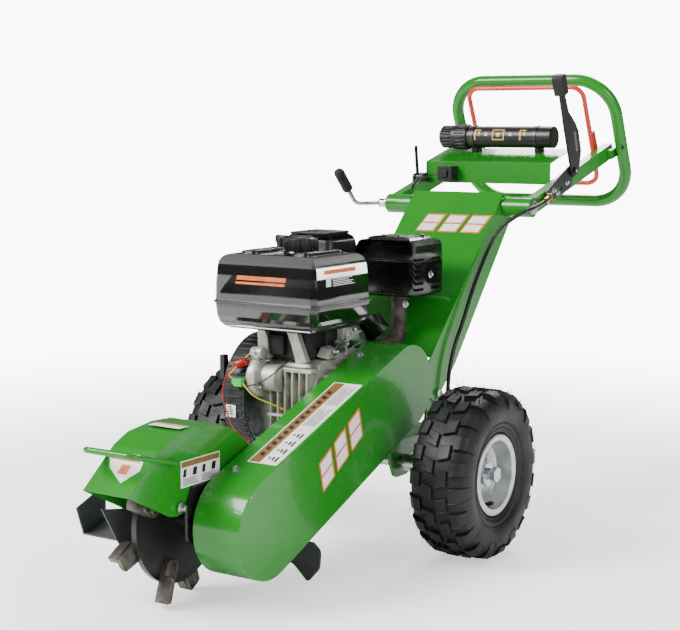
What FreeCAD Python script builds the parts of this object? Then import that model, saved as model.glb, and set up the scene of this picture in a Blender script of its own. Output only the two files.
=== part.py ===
import FreeCAD, Part
import math
import os
import re

# Walk-behind petrol stump grinder, in millimetres. +Z is up, the cutter end faces -Y, the belt guard
# is on the +X side. The origin lies on the ground, half way along the machine, between its wheels.
# Places below are given from the wheel axle (y = 0) and are moved to the origin at the very end.

DRIVING = {
    # wheels and axle
    "tyre_radius": 184, "tyre_width": 138, "half_track": 301, "rim_radius": 76, "rim_lip": 88.5,
    "axle_radius": 12.5, "running_gap": 0.05, "seat_gap": 0.3,
    # deck
    "deck_top": 235, "deck_sheet": 6, "deck_front": -400, "deck_rear": 190, "deck_half": 125,
    "deck_flange": 30, "deck_right": 37.6, "deck_step": -55,
    # column and handlebar pivot
    "column_half": 125, "column_sheet": 4, "pivot_y": 473, "pivot_z": 729, "pivot_radius": 24,
    "shaft_radius": 18, "column_slope": 45.8, "column_front": 28.6, "column_plate": 480,
    # handlebar
    "arm_slope": 15.5, "arm_mid": 190, "arm_width": 24, "arm_depth": 38, "arm_wall": 3, "arm_reach": 492,
    "loop_y": 924, "loop_z": 883, "loop_slope": 24.8, "loop_half_width": 234, "loop_half_height": 177,
    "loop_corner": 101, "tube_radius": 16, "tube_wall": 2.5,
    "bail_half_width": 168, "bail_up": 172, "bail_down": 105, "bail_radius": 6.3, "bail_offset": 36,
    "bail_pin_up": -14,
    # engine
    "crank_y": -120, "crank_z": 335, "crank_radius": 14, "fan_radius": 133, "recoil_radius": 108,
    "engine_left": -128, "engine_right": 18, "cylinder_mid": -58, "cylinder_slope": 25,
    "tank_left": -198, "tank_right": 60, "tank_front": -258, "tank_rear": -48, "tank_bottom": 500,
    "tank_seam": 550, "tank_top": 652, "cap_radius": 35.5,
    # belt guard and belt drive
    "guard_inner": 43, "guard_outer": 147, "guard_sheet": 2.5, "guard_rear_y": -11, "guard_rear_z": 357,
    "guard_rear_radius": 92, "guard_front_y": -538, "guard_front_z": 157, "guard_front_radius": 101,
    "drum_radius": 42, "pulley_radius": 44, "belt_left": 66, "belt_width": 36, "belt_thick": 6,
    # cutter and hood
    "cutter_y": -583, "cutter_z": 163, "cutter_x": -45, "disc_radius": 130, "disc_thick": 12,
    "shaft_r": 15, "tooth_half": 17, "tooth_count": 8, "hood_left": -92, "hood_right": 20, "hood_sheet": 3,
    # from the wheel axle to the middle of the machine
    "origin_y": -107.1,
}

doc = FreeCAD.newDocument("stump_grinder")
sheet = doc.addObject("Spreadsheet::Sheet", "sizes")
for row, (alias, value) in enumerate(DRIVING.items(), start=1):
    sheet.set("A%d" % row, alias)
    sheet.set("B%d" % row, str(value))
    sheet.setAlias("B%d" % row, alias)
doc.recompute()

PIECES = []


def bind(formula):
    """A formula over the sheet's names, as an expression that FreeCAD can bind to."""
    return re.sub(r"[a-z_]+\w*", lambda found: "sizes." + found[0] if found[0] in DRIVING else found[0],
                  str(formula))


def num(formula):
    """The present value of a formula."""
    return float(sheet.evalExpression(bind(formula)))


def place(item, at=(0, 0, 0), turn=None):
    """Set an object's place from three formulas, after a turn (axis, degrees) about its own origin."""
    rotation = FreeCAD.Rotation(FreeCAD.Vector(*turn[0]), num(turn[1])) if turn else FreeCAD.Rotation()
    item.Placement = FreeCAD.Placement(FreeCAD.Vector(), rotation)
    for axis, formula in zip("xyz", at):
        item.setExpression("Placement.Base." + axis, bind(formula))
    return item


def shape(kind, at=(0, 0, 0), turn=None, **sizes):
    """A Part primitive with its sizes and place bound to formulas."""
    item = doc.addObject("Part::" + kind, "primitive")
    for name, formula in sizes.items():
        item.setExpression(name, bind(formula))
    return place(item, at, turn)


def box(x_low, x_high, y_low, y_high, z_low, z_high):
    """A box between six planes."""
    return shape("Box", (x_low, y_low, z_low), Length="(%s) - (%s)" % (x_high, x_low),
                 Width="(%s) - (%s)" % (y_high, y_low), Height="(%s) - (%s)" % (z_high, z_low))


ALONG_X = ((0, 1, 0), 90)
ALONG_Y = ((1, 0, 0), -90)


def rod_x(x_low, x_high, y, z, radius):
    """A cylinder along X."""
    return shape("Cylinder", (x_low, y, z), ALONG_X, Radius=radius, Height="(%s) - (%s)" % (x_high, x_low))


def rod_y(y_low, y_high, x, z, radius):
    """A cylinder along Y."""
    return shape("Cylinder", (x, y_low, z), ALONG_Y, Radius=radius, Height="(%s) - (%s)" % (y_high, y_low))


def rod_z(z_low, z_high, x, y, radius):
    """A cylinder along Z."""
    return shape("Cylinder", (x, y, z_low), None, Radius=radius, Height="(%s) - (%s)" % (z_high, z_low))


def cut(base, *tools):
    """The base with every tool taken out of it."""
    for tool in tools:
        joined = doc.addObject("Part::Cut", "cut")
        joined.Base = base
        joined.Tool = tool
        base = joined
    return base


def join(*pieces):
    """Several solids welded into one."""
    joined = doc.addObject("Part::MultiFuse", "weld")
    joined.Shapes = list(pieces)
    joined.Refine = True
    return joined


def group(*pieces):
    """Several equal solids that share one node."""
    joined = doc.addObject("Part::Compound", "group")
    joined.Links = list(pieces)
    return joined


def name(label, item):
    """Label a finished sub-part and keep it for export."""
    item.Label = label
    PIECES.append(item)
    return item


def outline(points):
    """Edges of a closed outline of (u, v) or (u, v, corner radius) points."""
    count = len(points)
    starts, ends, arcs = [], [], []
    for index, point in enumerate(points):
        here = FreeCAD.Vector(point[0], point[1], 0)
        radius = point[2] if len(point) > 2 else 0
        before = FreeCAD.Vector(*points[index - 1][:2], 0) - here
        after = FreeCAD.Vector(*points[(index + 1) % count][:2], 0) - here
        if radius == 0:
            starts.append(here)
            ends.append(here)
            arcs.append(None)
            continue
        half = before.getAngle(after) / 2
        reach = radius / math.tan(half)
        middle = (before.normalize() + after.normalize()).normalize()
        centre = here + middle * (radius / math.sin(half))
        starts.append(here + before * reach)
        ends.append(here + after * reach)
        arcs.append(Part.Arc(starts[-1], centre - middle * radius, ends[-1]))
    edges = []
    for index in range(count):
        if arcs[index]:
            edges.append(arcs[index])
        following = (index + 1) % count
        if (ends[index] - starts[following]).Length > 1e-6:
            edges.append(Part.LineSegment(ends[index], starts[following]))
    return edges


def origin_plane(body, role):
    """One of a body's own origin planes."""
    return next(item for item in body.Origin.OriginFeatures if item.Role == role)


def sketch_on(body, role, edges):
    """A sketch on a body's origin plane."""
    sketch = body.newObject("Sketcher::SketchObject", "outline")
    sketch.AttachmentSupport = [(origin_plane(body, role), "")]
    sketch.MapMode = "FlatFace"
    sketch.addGeometry(edges)
    return sketch


def slab(role, edges, thickness, at=(0, 0, 0), turn=None):
    """An outline padded to a thickness: YZ_Plane outlines are (y, z) and grow along +X."""
    body = doc.addObject("PartDesign::Body", "slab")
    pad = body.newObject("PartDesign::Pad", "pad")
    pad.Profile = sketch_on(body, role, edges)
    pad.setExpression("Length", bind(thickness))
    body.Tip = pad
    return place(body, at, turn)


def turned(edges, at=(0, 0, 0), turn=None):
    """An (x, radius) outline revolved about the X axis."""
    body = doc.addObject("PartDesign::Body", "turned")
    sketch = sketch_on(body, "XY_Plane", edges)
    ring = body.newObject("PartDesign::Revolution", "revolution")
    ring.Profile = sketch
    ring.ReferenceAxis = (sketch, ["H_Axis"])
    ring.Angle = 360
    body.Tip = ring
    return place(body, at, turn)


def stadium(y_a, z_a, r_a, y_b, z_b, r_b):
    """The tangent outline round two circles of different radius, as sketch edges."""
    a = FreeCAD.Vector(y_a, z_a, 0)
    b = FreeCAD.Vector(y_b, z_b, 0)
    along = (b - a)
    lean = math.acos((r_a - r_b) / along.Length)
    base = math.atan2(along.y, along.x)

    def spot(centre, radius, angle):
        return centre + FreeCAD.Vector(math.cos(angle), math.sin(angle), 0) * radius

    return [
        Part.Arc(spot(a, r_a, base + lean), spot(a, r_a, base + math.pi), spot(a, r_a, base - lean)),
        Part.LineSegment(spot(a, r_a, base - lean), spot(b, r_b, base - lean)),
        Part.Arc(spot(b, r_b, base - lean), spot(b, r_b, base), spot(b, r_b, base + lean)),
        Part.LineSegment(spot(b, r_b, base + lean), spot(a, r_a, base + lean)),
    ]


def rounded_path(points, radii=None, closed=False, report=None):
    """Straight runs joined by tangent arcs. A radius of None takes what its two runs allow."""
    spots = [FreeCAD.Vector(*point) for point in points]
    count = len(spots)
    inner = range(count) if closed else range(1, count - 1)
    starts = list(spots)
    ends = list(spots)
    arcs = {}
    used = []
    for index in inner:
        here = spots[index]
        before = spots[index - 1] - here
        after = spots[(index + 1) % count] - here
        turn = math.pi - before.getAngle(after)
        shorter = min(before.Length, after.Length)
        radius = radii if radii else 0.45 * shorter / math.tan(turn / 2)
        used.append(round(radius))
        reach = radius * math.tan(turn / 2)
        before.normalize()
        after.normalize()
        middle = (before + after).normalize()
        centre = here + middle * (radius / math.cos(turn / 2))
        starts[index] = here + before * reach
        ends[index] = here + after * reach
        arcs[index] = Part.Arc(starts[index], centre - middle * radius, ends[index]).toShape()
    edges = []
    for index in range(count):
        if index in arcs:
            edges.append(arcs[index])
        if index + 1 < count or closed:
            following = (index + 1) % count
            if (ends[index] - starts[following]).Length > 1e-6:
                edges.append(Part.LineSegment(ends[index], starts[following]).toShape())
    if report:
        print(report, "arc radii", used)
    return Part.Wire(edges)


def tube(path, radius):
    """A round bar swept along a path."""
    spine = doc.addObject("Part::Feature", "path")
    spine.Shape = path
    first = path.OrderedEdges[0]
    start = first.valueAt(first.FirstParameter)
    heading = first.tangentAt(first.FirstParameter)
    if first.Orientation == "Reversed":
        start = first.valueAt(first.LastParameter)
        heading = first.tangentAt(first.LastParameter)
    ring = doc.addObject("Part::Circle", "ring")
    ring.setExpression("Radius", bind(radius))
    ring.Placement = FreeCAD.Placement(start, FreeCAD.Rotation(FreeCAD.Vector(0, 0, 1), heading))
    swept = doc.addObject("Part::Sweep", "tube")
    swept.Sections = [ring]
    swept.Spine = (spine, [])
    swept.Solid = True
    swept.Frenet = False
    return swept


def hex_head(at, turn, across, height):
    """A hexagon bolt head or nut."""
    return shape("Prism", at, turn, Circumradius=across / math.sqrt(3), Height=height)


def along(y, z, slope, distance, rise=0):
    """The (y, z) point at a distance along a slope from (y, z), raised square to it."""
    angle = math.radians(slope)
    return (y + distance * math.cos(angle) - rise * math.sin(angle),
            z + distance * math.sin(angle) + rise * math.cos(angle))


# ---- wheels: a chunky tyre on a pressed rim that is bolted to a hub on the fixed axle ----------------

def wheel(side, label):
    """The pieces of one wheel; side is +1 on the right and -1 on the left."""
    half = num("tyre_width / 2")
    crown = num("tyre_radius")
    bead = num("rim_radius")
    lip = num("rim_lip")
    flip = ((0, 0, 1), 0 if side > 0 else 180)
    centre = ("%d * half_track" % side, 0, "tyre_radius")
    bead_half = half - 18
    tyre = turned(outline([(-half + 14, crown, 12), (half - 14, crown, 12), (half, crown - 42, 14),
                           (half - 4, lip + 14, 8), (bead_half, lip + 4, 3), (bead_half, bead + 0.4),
                           (bead_half - 12, bead + 0.4),
                           (half - 24, lip + 16, 8), (half - 22, crown - 44, 10), (half - 34, crown - 20, 8),
                           (-half + 34, crown - 20, 8), (-half + 22, crown - 44, 10),
                           (-half + 24, lip + 16, 8),
                           (-bead_half + 12, bead + 0.4), (-bead_half, bead + 0.4), (-bead_half, lip + 4, 3),
                           (-half + 4, lip + 14, 8),
                           (-half, crown - 42, 14)]), centre, flip)
    name("tyre_" + label, tyre)
    sheet_r = 2.5
    bore = 24
    dish = 12
    rim = turned(outline([(bead_half + 0.4, bead), (bead_half + 0.4, lip - 2), (bead_half + 3.4, lip),
                          (bead_half + 5.4, lip - 3), (bead_half + 3.4, bead - sheet_r, 2),
                          (dish + 6, bead - sheet_r - 8, 5), (dish + 2, 52, 5), (dish + 2, bore),
                          (dish - 2, bore), (dish - 2, 54, 5), (dish, bead - 10, 5), (dish - 10, bead - 12),
                          (-bead_half - 3.4, bead - sheet_r, 2), (-bead_half - 5.4, lip - 3),
                          (-bead_half - 3.4, lip), (-bead_half - 0.4, lip - 2), (-bead_half - 0.4, bead)]),
                 centre, flip)
    holes = [rod_x("%d * half_track - 30" % side, "%d * half_track + 30" % side,
                   round(40 * math.sin(math.radians(90 * step + 45)), 6),
                   "tyre_radius + %f" % (40 * math.cos(math.radians(90 * step + 45))),
                   5.2) for step in range(4)]
    name("rim_" + label, cut(rim, *holes))
    hub = turned(outline([(-40, num("axle_radius + running_gap")), (34, num("axle_radius + running_gap")),
                          (34, 23.5), (dish - 2, 23.5), (dish - 2, 50), (dish - 8, 50), (dish - 8, 23.5),
                          (-40, 23.5)]), centre, flip)
    bolts = []
    for step in range(4):
        y = 40 * math.sin(math.radians(90 * step + 45))
        z = "tyre_radius + %f" % (40 * math.cos(math.radians(90 * step + 45)))
        inner = "%d * half_track + %d" % (side, side * (dish - 1.9))
        outer = "%d * half_track + %d" % (side, side * (dish + 2))
        low, high = (inner, outer) if side > 0 else (outer, inner)
        head = hex_head((outer, y, z), ((0, 1, 0), 90 * side), 17, 7)
        shank = rod_x(low, high, y, z, 5)
        bolts.append(join(head, shank))
    name("hub_" + label, group(hub, *bolts))


wheel(1, "right")
wheel(-1, "left")
axle_rod = rod_x("-half_track - 46", "half_track + 46", 0, "tyre_radius", "axle_radius")
collars = [rod_x("deck_half + 3", "half_track - 40.5", 0, "tyre_radius", 18),
           rod_x("-half_track + 40.5", "-deck_half - 3", 0, "tyre_radius", 18)]
name("axle", join(axle_rod, *collars))
fasteners = []
for side in (-1, 1):
    spot = ("%d * (half_track + 46)" % side, 0, "tyre_radius")
    fasteners.append(hex_head(spot, ((0, 1, 0), 90 * side), 30, 10))

# ---- deck: a folded steel plate that carries the engine; brackets below it hold the axle -------------

deck_outline = outline([(num("-deck_half"), num("deck_front")), (num("deck_right"), num("deck_front")),
                        (num("deck_right"), num("deck_step")), (num("deck_half"), num("deck_step")),
                        (num("deck_half"), num("deck_rear")), (num("-deck_half"), num("deck_rear"))])
deck_plate = slab("XY_Plane", deck_outline, "deck_sheet", (0, 0, "deck_top - deck_sheet"))
deck_low = "deck_top - deck_sheet - deck_flange"
left_flange = box("-deck_half", "-deck_half + deck_sheet", "deck_front", "deck_rear", deck_low,
                  "deck_top - deck_sheet")
right_flange = box("deck_half - deck_sheet", "deck_half", "deck_step", "deck_rear", deck_low,
                   "deck_top - deck_sheet")
inner_flange = box("deck_right - deck_sheet", "deck_right", "deck_front", "deck_step", deck_low,
                   "deck_top - deck_sheet")
deck_pieces = [deck_plate, left_flange, right_flange, inner_flange]
for side in (-1, 1):
    outer = num("deck_half - deck_sheet")
    x = outer - 8 if side > 0 else -outer
    plate = slab("YZ_Plane", outline([(-46, num("deck_top - deck_sheet")),
                                      (46, num("deck_top - deck_sheet")),
                                      (46, 190, 10), (28, 152, 16), (-28, 152, 16), (-46, 190, 10)]), 8,
                                      (x, 0, 0))
    hole = rod_x(x - 1, x + 9, 0, "tyre_radius", "axle_radius + 0.1")
    deck_pieces.append(cut(plate, hole))

# ---- column: a folded channel that rises to the handlebar pivot --------------------------------------

slope = num("column_slope")
half = num("column_half")


def column_point(down, front):
    """The (y, z) point at a distance down the column from the pivot, and in front of the pivot's line."""
    return along(num("pivot_y"), num("pivot_z"), slope + 180, down, -front)


front = num("column_front")
skin = num("column_sheet")
plate_low = num("column_plate")
side_outline = outline([column_point(-20, front), column_point(plate_low, front),
                        column_point(plate_low + 50, front - 6),
                        (*column_point(plate_low + 78, -12), 24), (*column_point(plate_low + 62, -62), 24),
                        (*column_point(plate_low - 60, -74), 20), column_point(-20, -46)])
hollow_outline = outline([column_point(-40, front - skin), column_point(plate_low + 200, front - skin),
                          column_point(plate_low + 200, -120), column_point(-40, -120)])
channel = cut(slab("YZ_Plane", side_outline, "2 * column_half", ("-column_half", 0, 0)),
              slab("YZ_Plane", hollow_outline, "2 * column_half - 2 * column_sheet",
                   ("-column_half + column_sheet", 0, 0)),
              slab("YZ_Plane", outline([column_point(plate_low, front + 9),
                                        column_point(plate_low + 200, front + 9),
                                        column_point(plate_low + 200, -120), column_point(plate_low, -120)]),
                   "2 * column_half - 2 * column_sheet", ("-column_half + column_sheet", 0, 0)),
              rod_x("-column_half - 5", "column_half + 5", "pivot_y", "pivot_z", "pivot_radius - 1"))
feet = []
for side in (-1, 1):
    x = half - skin - 6 if side > 0 else -half + skin
    foot = slab("YZ_Plane", outline([(100, num("deck_top")), (num("deck_rear"), num("deck_top")),
                                     (num("deck_rear"), 300, 20), (150, 352, 20), (112, 330, 20)]), 6,
                                     (x, 0, 0))
    feet.append(foot)
foot_bolts = [(146, 318), (158, 286)]
drilled = channel
drilled_feet = list(feet)
for y, z in foot_bolts:
    drilled = cut(drilled, rod_x("-column_half - 5", "column_half + 5", y, z, 5.1))
    drilled_feet = [cut(foot, rod_x("-column_half - 5", "column_half + 5", y, z,
                                    5.1)) for foot in drilled_feet]
    for side in (-1, 1):
        low, high = (half - skin - 6, half) if side > 0 else (-half, -half + skin + 6)
        head = hex_head((side * half, y, z), ((0, 1, 0), 90 * side), 17, 7)
        fasteners.append(join(head, rod_x(low, high, y, z, 5)))
anchor_y = 156
anchor = box("deck_half - 1", "deck_half + 24", anchor_y, anchor_y + 22, "deck_top - deck_sheet",
             "deck_top + 3")
name("deck", join(*deck_pieces, *drilled_feet, anchor))
pivot_bore = rod_x("-column_half - 9", "column_half + 9", "pivot_y", "pivot_z", "shaft_radius + running_gap")
pivot_tube = rod_x("-column_half - 3", "column_half + 3", "pivot_y", "pivot_z", "pivot_radius")
name("column", cut(join(drilled, pivot_tube), pivot_bore))

# ---- handlebar: two box-section arms and a closed loop that tilt together about the pivot -------------

arm_slope = num("arm_slope")


def arm_point(distance, rise=0):
    """The (y, z) point along the arms' centre line."""
    return along(num("pivot_y"), num("pivot_z"), arm_slope, distance, rise)


shaft_end = num("arm_mid + arm_width / 2")
name("pivot_shaft", join(rod_x("-arm_mid - arm_width / 2", "arm_mid + arm_width / 2", "pivot_y", "pivot_z",
                               "shaft_radius"),
                         rod_x("arm_mid + arm_width / 2 - 1", "arm_mid + arm_width / 2 + 4", "pivot_y",
                               "pivot_z", 15)))
for side, label in ((-1, "left"), (1, "right")):
    inner = num("column_half") + 3.4
    outer = num("arm_mid + arm_width / 2")
    low, high = (inner, outer) if side > 0 else (-outer, -inner)
    sleeve = cut(rod_x(low, high, "pivot_y", "pivot_z", "pivot_radius"),
                 rod_x(low - 1, high + 1, "pivot_y", "pivot_z", "shaft_radius + 0.1"))
    depth = num("arm_depth / 2")
    wall = num("arm_wall")
    reach = num("arm_reach")
    skin_outline = outline([arm_point(0, -depth), arm_point(reach, -depth), arm_point(reach, depth),
                            arm_point(0, depth)])
    core_outline = outline([arm_point(-5, -depth + wall), arm_point(reach - wall, -depth + wall),
                            arm_point(reach - wall, depth - wall), arm_point(-5, depth - wall)])
    arm_x = "%d * arm_mid - arm_width / 2" % side
    pin_y, pin_z = along(num("loop_y"), num("loop_z"), 90 + num("loop_slope"), num("bail_pin_up"),
                         num("bail_offset"))
    near = num("arm_mid + arm_width / 2") - 1
    far = num("loop_half_width - tube_radius") - 0.1
    spacer_low, spacer_high = (near, far) if side > 0 else (-far, -near)
    spacer = slab("YZ_Plane", outline([arm_point(reach - 44, -12), arm_point(reach - 10, -12),
                                       arm_point(reach - 10, 12), arm_point(reach - 44, 12)]),
                  spacer_high - spacer_low, (spacer_low, 0, 0))
    arm = cut(slab("YZ_Plane", skin_outline, "arm_width", (arm_x, 0, 0)),
              slab("YZ_Plane", core_outline, "arm_width - 2 * arm_wall", (arm_x + " + arm_wall", 0, 0)),
              rod_x("-arm_mid - arm_width", "arm_mid + arm_width", "pivot_y", "pivot_z", "pivot_radius - 1"))
    rod_side = num("arm_mid - arm_width / 2")
    pin_low, pin_high = (rod_side - 3.3, rod_side + 1) if side > 0 else (-rod_side - 1, -rod_side + 3.3)
    stud = rod_x(pin_low, pin_high, pin_y, pin_z, 4)
    name("arm_" + label, join(arm, sleeve, spacer, stud))

loop_angle = 90 + num("loop_slope")


def loop_point(x, up, forward=0):
    """A point in the loop's leaning plane, as x, y, z."""
    y, z = along(num("loop_y"), num("loop_z"), loop_angle, up, forward)
    return (x, y, z)


wide = num("loop_half_width")
tall = num("loop_half_height")
corner = num("loop_corner")
loop_corners = [loop_point(x, up) for x, up in ((0, tall), (wide, tall), (wide, -tall), (-wide, -tall),
                                                (-wide, tall))]


def loop_path(points, radius):
    """A closed path that starts half way along its first run."""
    spots = [FreeCAD.Vector(*point) for point in points]
    path = rounded_path([tuple(spot) for spot in spots] + [tuple(spots[0])], radius)
    return path


loop_outer = tube(loop_path(loop_corners, corner), "tube_radius")
loop_inner = tube(loop_path(loop_corners, corner), "tube_radius - tube_wall")
drain_y, drain_z = loop_point(0, -tall)[1:]
drain = rod_z(drain_z - num("tube_radius") - 3, drain_z, 0, drain_y, 2)
name("handle_loop", cut(loop_outer, loop_inner, drain))

# ---- bail: a red rod loop in front of the handle, squeezed towards it to keep the engine running ------

bail_wide = num("bail_half_width")
offset = num("bail_offset")
bail_corners = [loop_point(x, up, offset) for x, up in
                ((0, num("bail_up")), (bail_wide, num("bail_up")), (bail_wide, -num("bail_down")),
                 (-bail_wide, -num("bail_down")), (-bail_wide, num("bail_up")))]
bail_rod = tube(loop_path(bail_corners, 32), "bail_radius")
pin_up = num("bail_pin_up")
pin_y, pin_z = loop_point(0, pin_up, offset)[1:]
ears = []
for side in (-1, 1):
    rod_face = bail_wide + num("bail_radius") - 2
    arm_face = num("arm_mid - arm_width / 2") - num("seat_gap")
    low, high = (rod_face, arm_face) if side > 0 else (-arm_face, -rod_face)
    plate = slab("YZ_Plane", outline([(*loop_point(0, pin_up - 16, offset + 14)[1:], 8),
                                      (*loop_point(0, pin_up - 16, offset - 14)[1:], 8),
                                      (*loop_point(0, pin_up + 60, offset - 11)[1:], 4),
                                      (*loop_point(0, pin_up + 60, offset + 11)[1:], 4)]),
                 high - low, (low, 0, 0))
    ears.append(plate)
clear_low = num("arm_mid - arm_width / 2") - 3.8
eyes = [rod_x(clear_low, clear_low + 5, pin_y, pin_z, 4.05),
        rod_x(-clear_low - 5, -clear_low, pin_y, pin_z, 4.05)]
name("bail", cut(join(bail_rod, *ears), *eyes))

# ---- tray between the arms, with the switch box and the document canister -----------------------------

tray_half = num("arm_mid - arm_width / 2")
tray_sheet = 2.5
face_low = arm_point(150, 10)
face_high = arm_point(164, 62)
back_high = arm_point(290, 62)
tray_outline = outline([face_low, face_high, back_high, arm_point(290, 62 - tray_sheet),
                        arm_point(164 + 2, 62 - tray_sheet), arm_point(152.5, 12.5), arm_point(200, 6),
                        arm_point(200, 3.5)])
name("tray", slab("YZ_Plane", tray_outline, 2 * (tray_half - 0.2), (-tray_half + 0.2, 0, 0)))

switch_mid = -104
switch_face = face_high[0] - 0.3
switch_body = box(switch_mid - 20, switch_mid + 20, switch_face - 34, switch_face, 784, 822)
button_hole = box(switch_mid - 9, switch_mid + 9, switch_face - 35, switch_face - 26, 794, 812)
name("switch_box", cut(switch_body, button_hole))
name("switch_button", box(switch_mid - 8.5, switch_mid + 8.5, switch_face - 39, switch_face - 30, 794.5,
                          811.5))

canister_y = 700
canister_z = 896
canister_radius = 28
canister = turned(outline([(-118, 0), (-118, 23), (-92, 23), (-92, 28), (149, 28, 3), (149, 0)]),
                  (0, canister_y, canister_z))
name("canister", canister)
canister_cap = turned(outline([(-176, 0), (-176, 25, 4), (-141, 25), (-138, 32, 3), (-92.3, 32, 3),
                               (-92.3, 23.4),
                               (-118.4, 23.4), (-118.4, 0)]), (0, canister_y, canister_z))
name("canister_cap", canister_cap)
clamps = []
for x in (-84, 96):
    band = turned(outline([(0, canister_radius + 0.1), (0, canister_radius + 1.6),
                           (12, canister_radius + 1.6),
                           (12, canister_radius + 0.1)]), (x, canister_y, canister_z))
    saddle = slab("YZ_Plane", outline([along(canister_y, canister_z, arm_slope, -16, -26),
                                       along(canister_y, canister_z, arm_slope, 16, -26),
                                       along(canister_y, canister_z, arm_slope, 16, -38.2),
                                       along(canister_y, canister_z, arm_slope, -16, -38.2)]), 12, (x, 0, 0))
    saddle = cut(saddle, rod_x(x - 1, x + 13, canister_y, canister_z, canister_radius + 0.1))
    clamps.append(join(band, saddle))
name("canister_clamps", group(*clamps))

# ---- clamp lever on the left end of the pivot shaft, bright cap on the right end ----------------------

socket = [rod_x(-shaft_end - 30, -shaft_end - 0.3, "pivot_y", "pivot_z", 11),
          rod_x(-shaft_end - 8, -shaft_end - 0.3, "pivot_y", "pivot_z", 16)]
lever_route = [(-shaft_end - 24, 473, 729), (-shaft_end - 52, 430, 729), (-shaft_end - 56, 398, 730),
               (-shaft_end - 58, 366, 766)]
lever_path = rounded_path(lever_route)
name("clamp_lever", join(tube(lever_path, 5.5), *socket))
grip_start = FreeCAD.Vector(*lever_route[-1])
grip_heading = (grip_start - FreeCAD.Vector(*lever_route[-2])).normalize()
grip_turn = FreeCAD.Rotation(FreeCAD.Vector(0, 0, 1), grip_heading)
grip = doc.addObject("Part::Cylinder", "grip")
grip.Radius = 12
grip.Height = 62
grip.Placement = FreeCAD.Placement(grip_start, grip_turn)
name("clamp_grip", grip)

# ---- brake lever: a stamped bracket on the right arm, a slotted lever, and its cable ------------------

plate_in = shaft_end
brake_plate = slab("YZ_Plane", outline([arm_point(66, -14), (*arm_point(206, -14), 8),
                                        (*arm_point(262, 34), 8),
                                        (*arm_point(212, 40), 8), (*arm_point(66, 16), 4)]), 3,
                                        (plate_in, 0, 0))
lever_pin = arm_point(228, 24)
slot = slab("YZ_Plane", outline([(*arm_point(100, -3), 3), (*arm_point(160, -3), 3), (*arm_point(160, 5), 3),
                                 (*arm_point(100, 5), 3)]), 5, (plate_in - 1, 0, 0))
brake_pin = join(rod_x(plate_in, plate_in + 12, *lever_pin, 5),
                 rod_x(plate_in + 11.5, plate_in + 15, *lever_pin, 9))
name("brake_bracket", join(cut(brake_plate, slot), brake_pin))
grip_top = (584, 1048)
lever_tilt = math.degrees(math.atan2(grip_top[1] - lever_pin[1], grip_top[0] - lever_pin[0]))
lever_length = math.hypot(grip_top[1] - lever_pin[1], grip_top[0] - lever_pin[0])


def lever_point(distance, rise):
    """The (y, z) point along the brake lever."""
    return along(*lever_pin, lever_tilt, distance, rise)


lever_plate = slab("YZ_Plane", outline([(*lever_point(-14, -14), 12), (*lever_point(8, -24), 10),
                                        lever_point(110, -14), lever_point(lever_length - 52, -9),
                                        lever_point(lever_length - 52, 9), lever_point(110, 12),
                                        (*lever_point(30, 16), 12), (*lever_point(-14, 14), 12)]), 6,
                   (plate_in + 5, 0, 0))
lever_slot = slab("YZ_Plane", outline([(*lever_point(48, -6), 5), (*lever_point(92, -6), 5),
                                       (*lever_point(92, 5), 5),
                                       (*lever_point(48, 5), 5)]), 8, (plate_in + 4, 0, 0))
name("brake_lever", cut(lever_plate, lever_slot, rod_x(plate_in + 4, plate_in + 12, *lever_pin, 5.05)))
grip_outline = outline([(*lever_point(lever_length - 51.7, -14), 4), (*lever_point(lever_length, -14), 8),
                        (*lever_point(lever_length, 14), 8), (*lever_point(lever_length - 51.7, 14), 4)])
name("brake_grip", slab("YZ_Plane", grip_outline, 26, (plate_in - 5, 0, 0)))

cable_x = num("column_half") + 14
fitting_y, fitting_z = arm_point(66, 3)
fitting_x = plate_in + 11
fitting_length = 24
fitting = shape("Cylinder", (fitting_x, fitting_y, fitting_z), ((1, 0, 0), 90 + arm_slope), Radius=7.5,
                Height=fitting_length)
anchor_tab = slab("YZ_Plane", outline([arm_point(66.3, -8), arm_point(72, -8), arm_point(72, 14),
                                       arm_point(66.3, 14)]),
                  16, (plate_in + 3.1, 0, 0))
name("cable_fitting", group(fitting, anchor_tab))


def split_route(points, run):
    """Cut a route half way along one of its runs."""
    middle = tuple((a + b) / 2 for a, b in zip(points[run], points[run + 1]))
    return list(points[:run + 1]) + [middle], [middle] + list(points[run + 1:])


cable_radius = 5
brake_route = [(fitting_x, *arm_point(66 - fitting_length - 0.1, 3)), (fitting_x, *arm_point(12, 3)),
               (fitting_x + 1, 430, 727), (fitting_x - 32, 412, 708), (fitting_x - 60, 396, 682),
               (cable_x, *column_point(130, 12)), (cable_x - 1, *column_point(200, 10)),
               (cable_x, *column_point(280, 2)), (cable_x + 1, *column_point(350, -12)),
               (cable_x, *column_point(420, -20)), (cable_x, anchor_y + 11, 330),
               (cable_x, anchor_y + 11, num("deck_top") + 3.1)]
upper_route, lower_route = split_route(brake_route, 3)
name("brake_cable_upper", tube(rounded_path(upper_route, report="brake cable, upper"), cable_radius))
name("brake_cable_lower", tube(rounded_path(lower_route, report="brake cable, lower"), cable_radius))

# ---- throttle lever on the left arm, with its cable down to the carburettor ---------------------------

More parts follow.
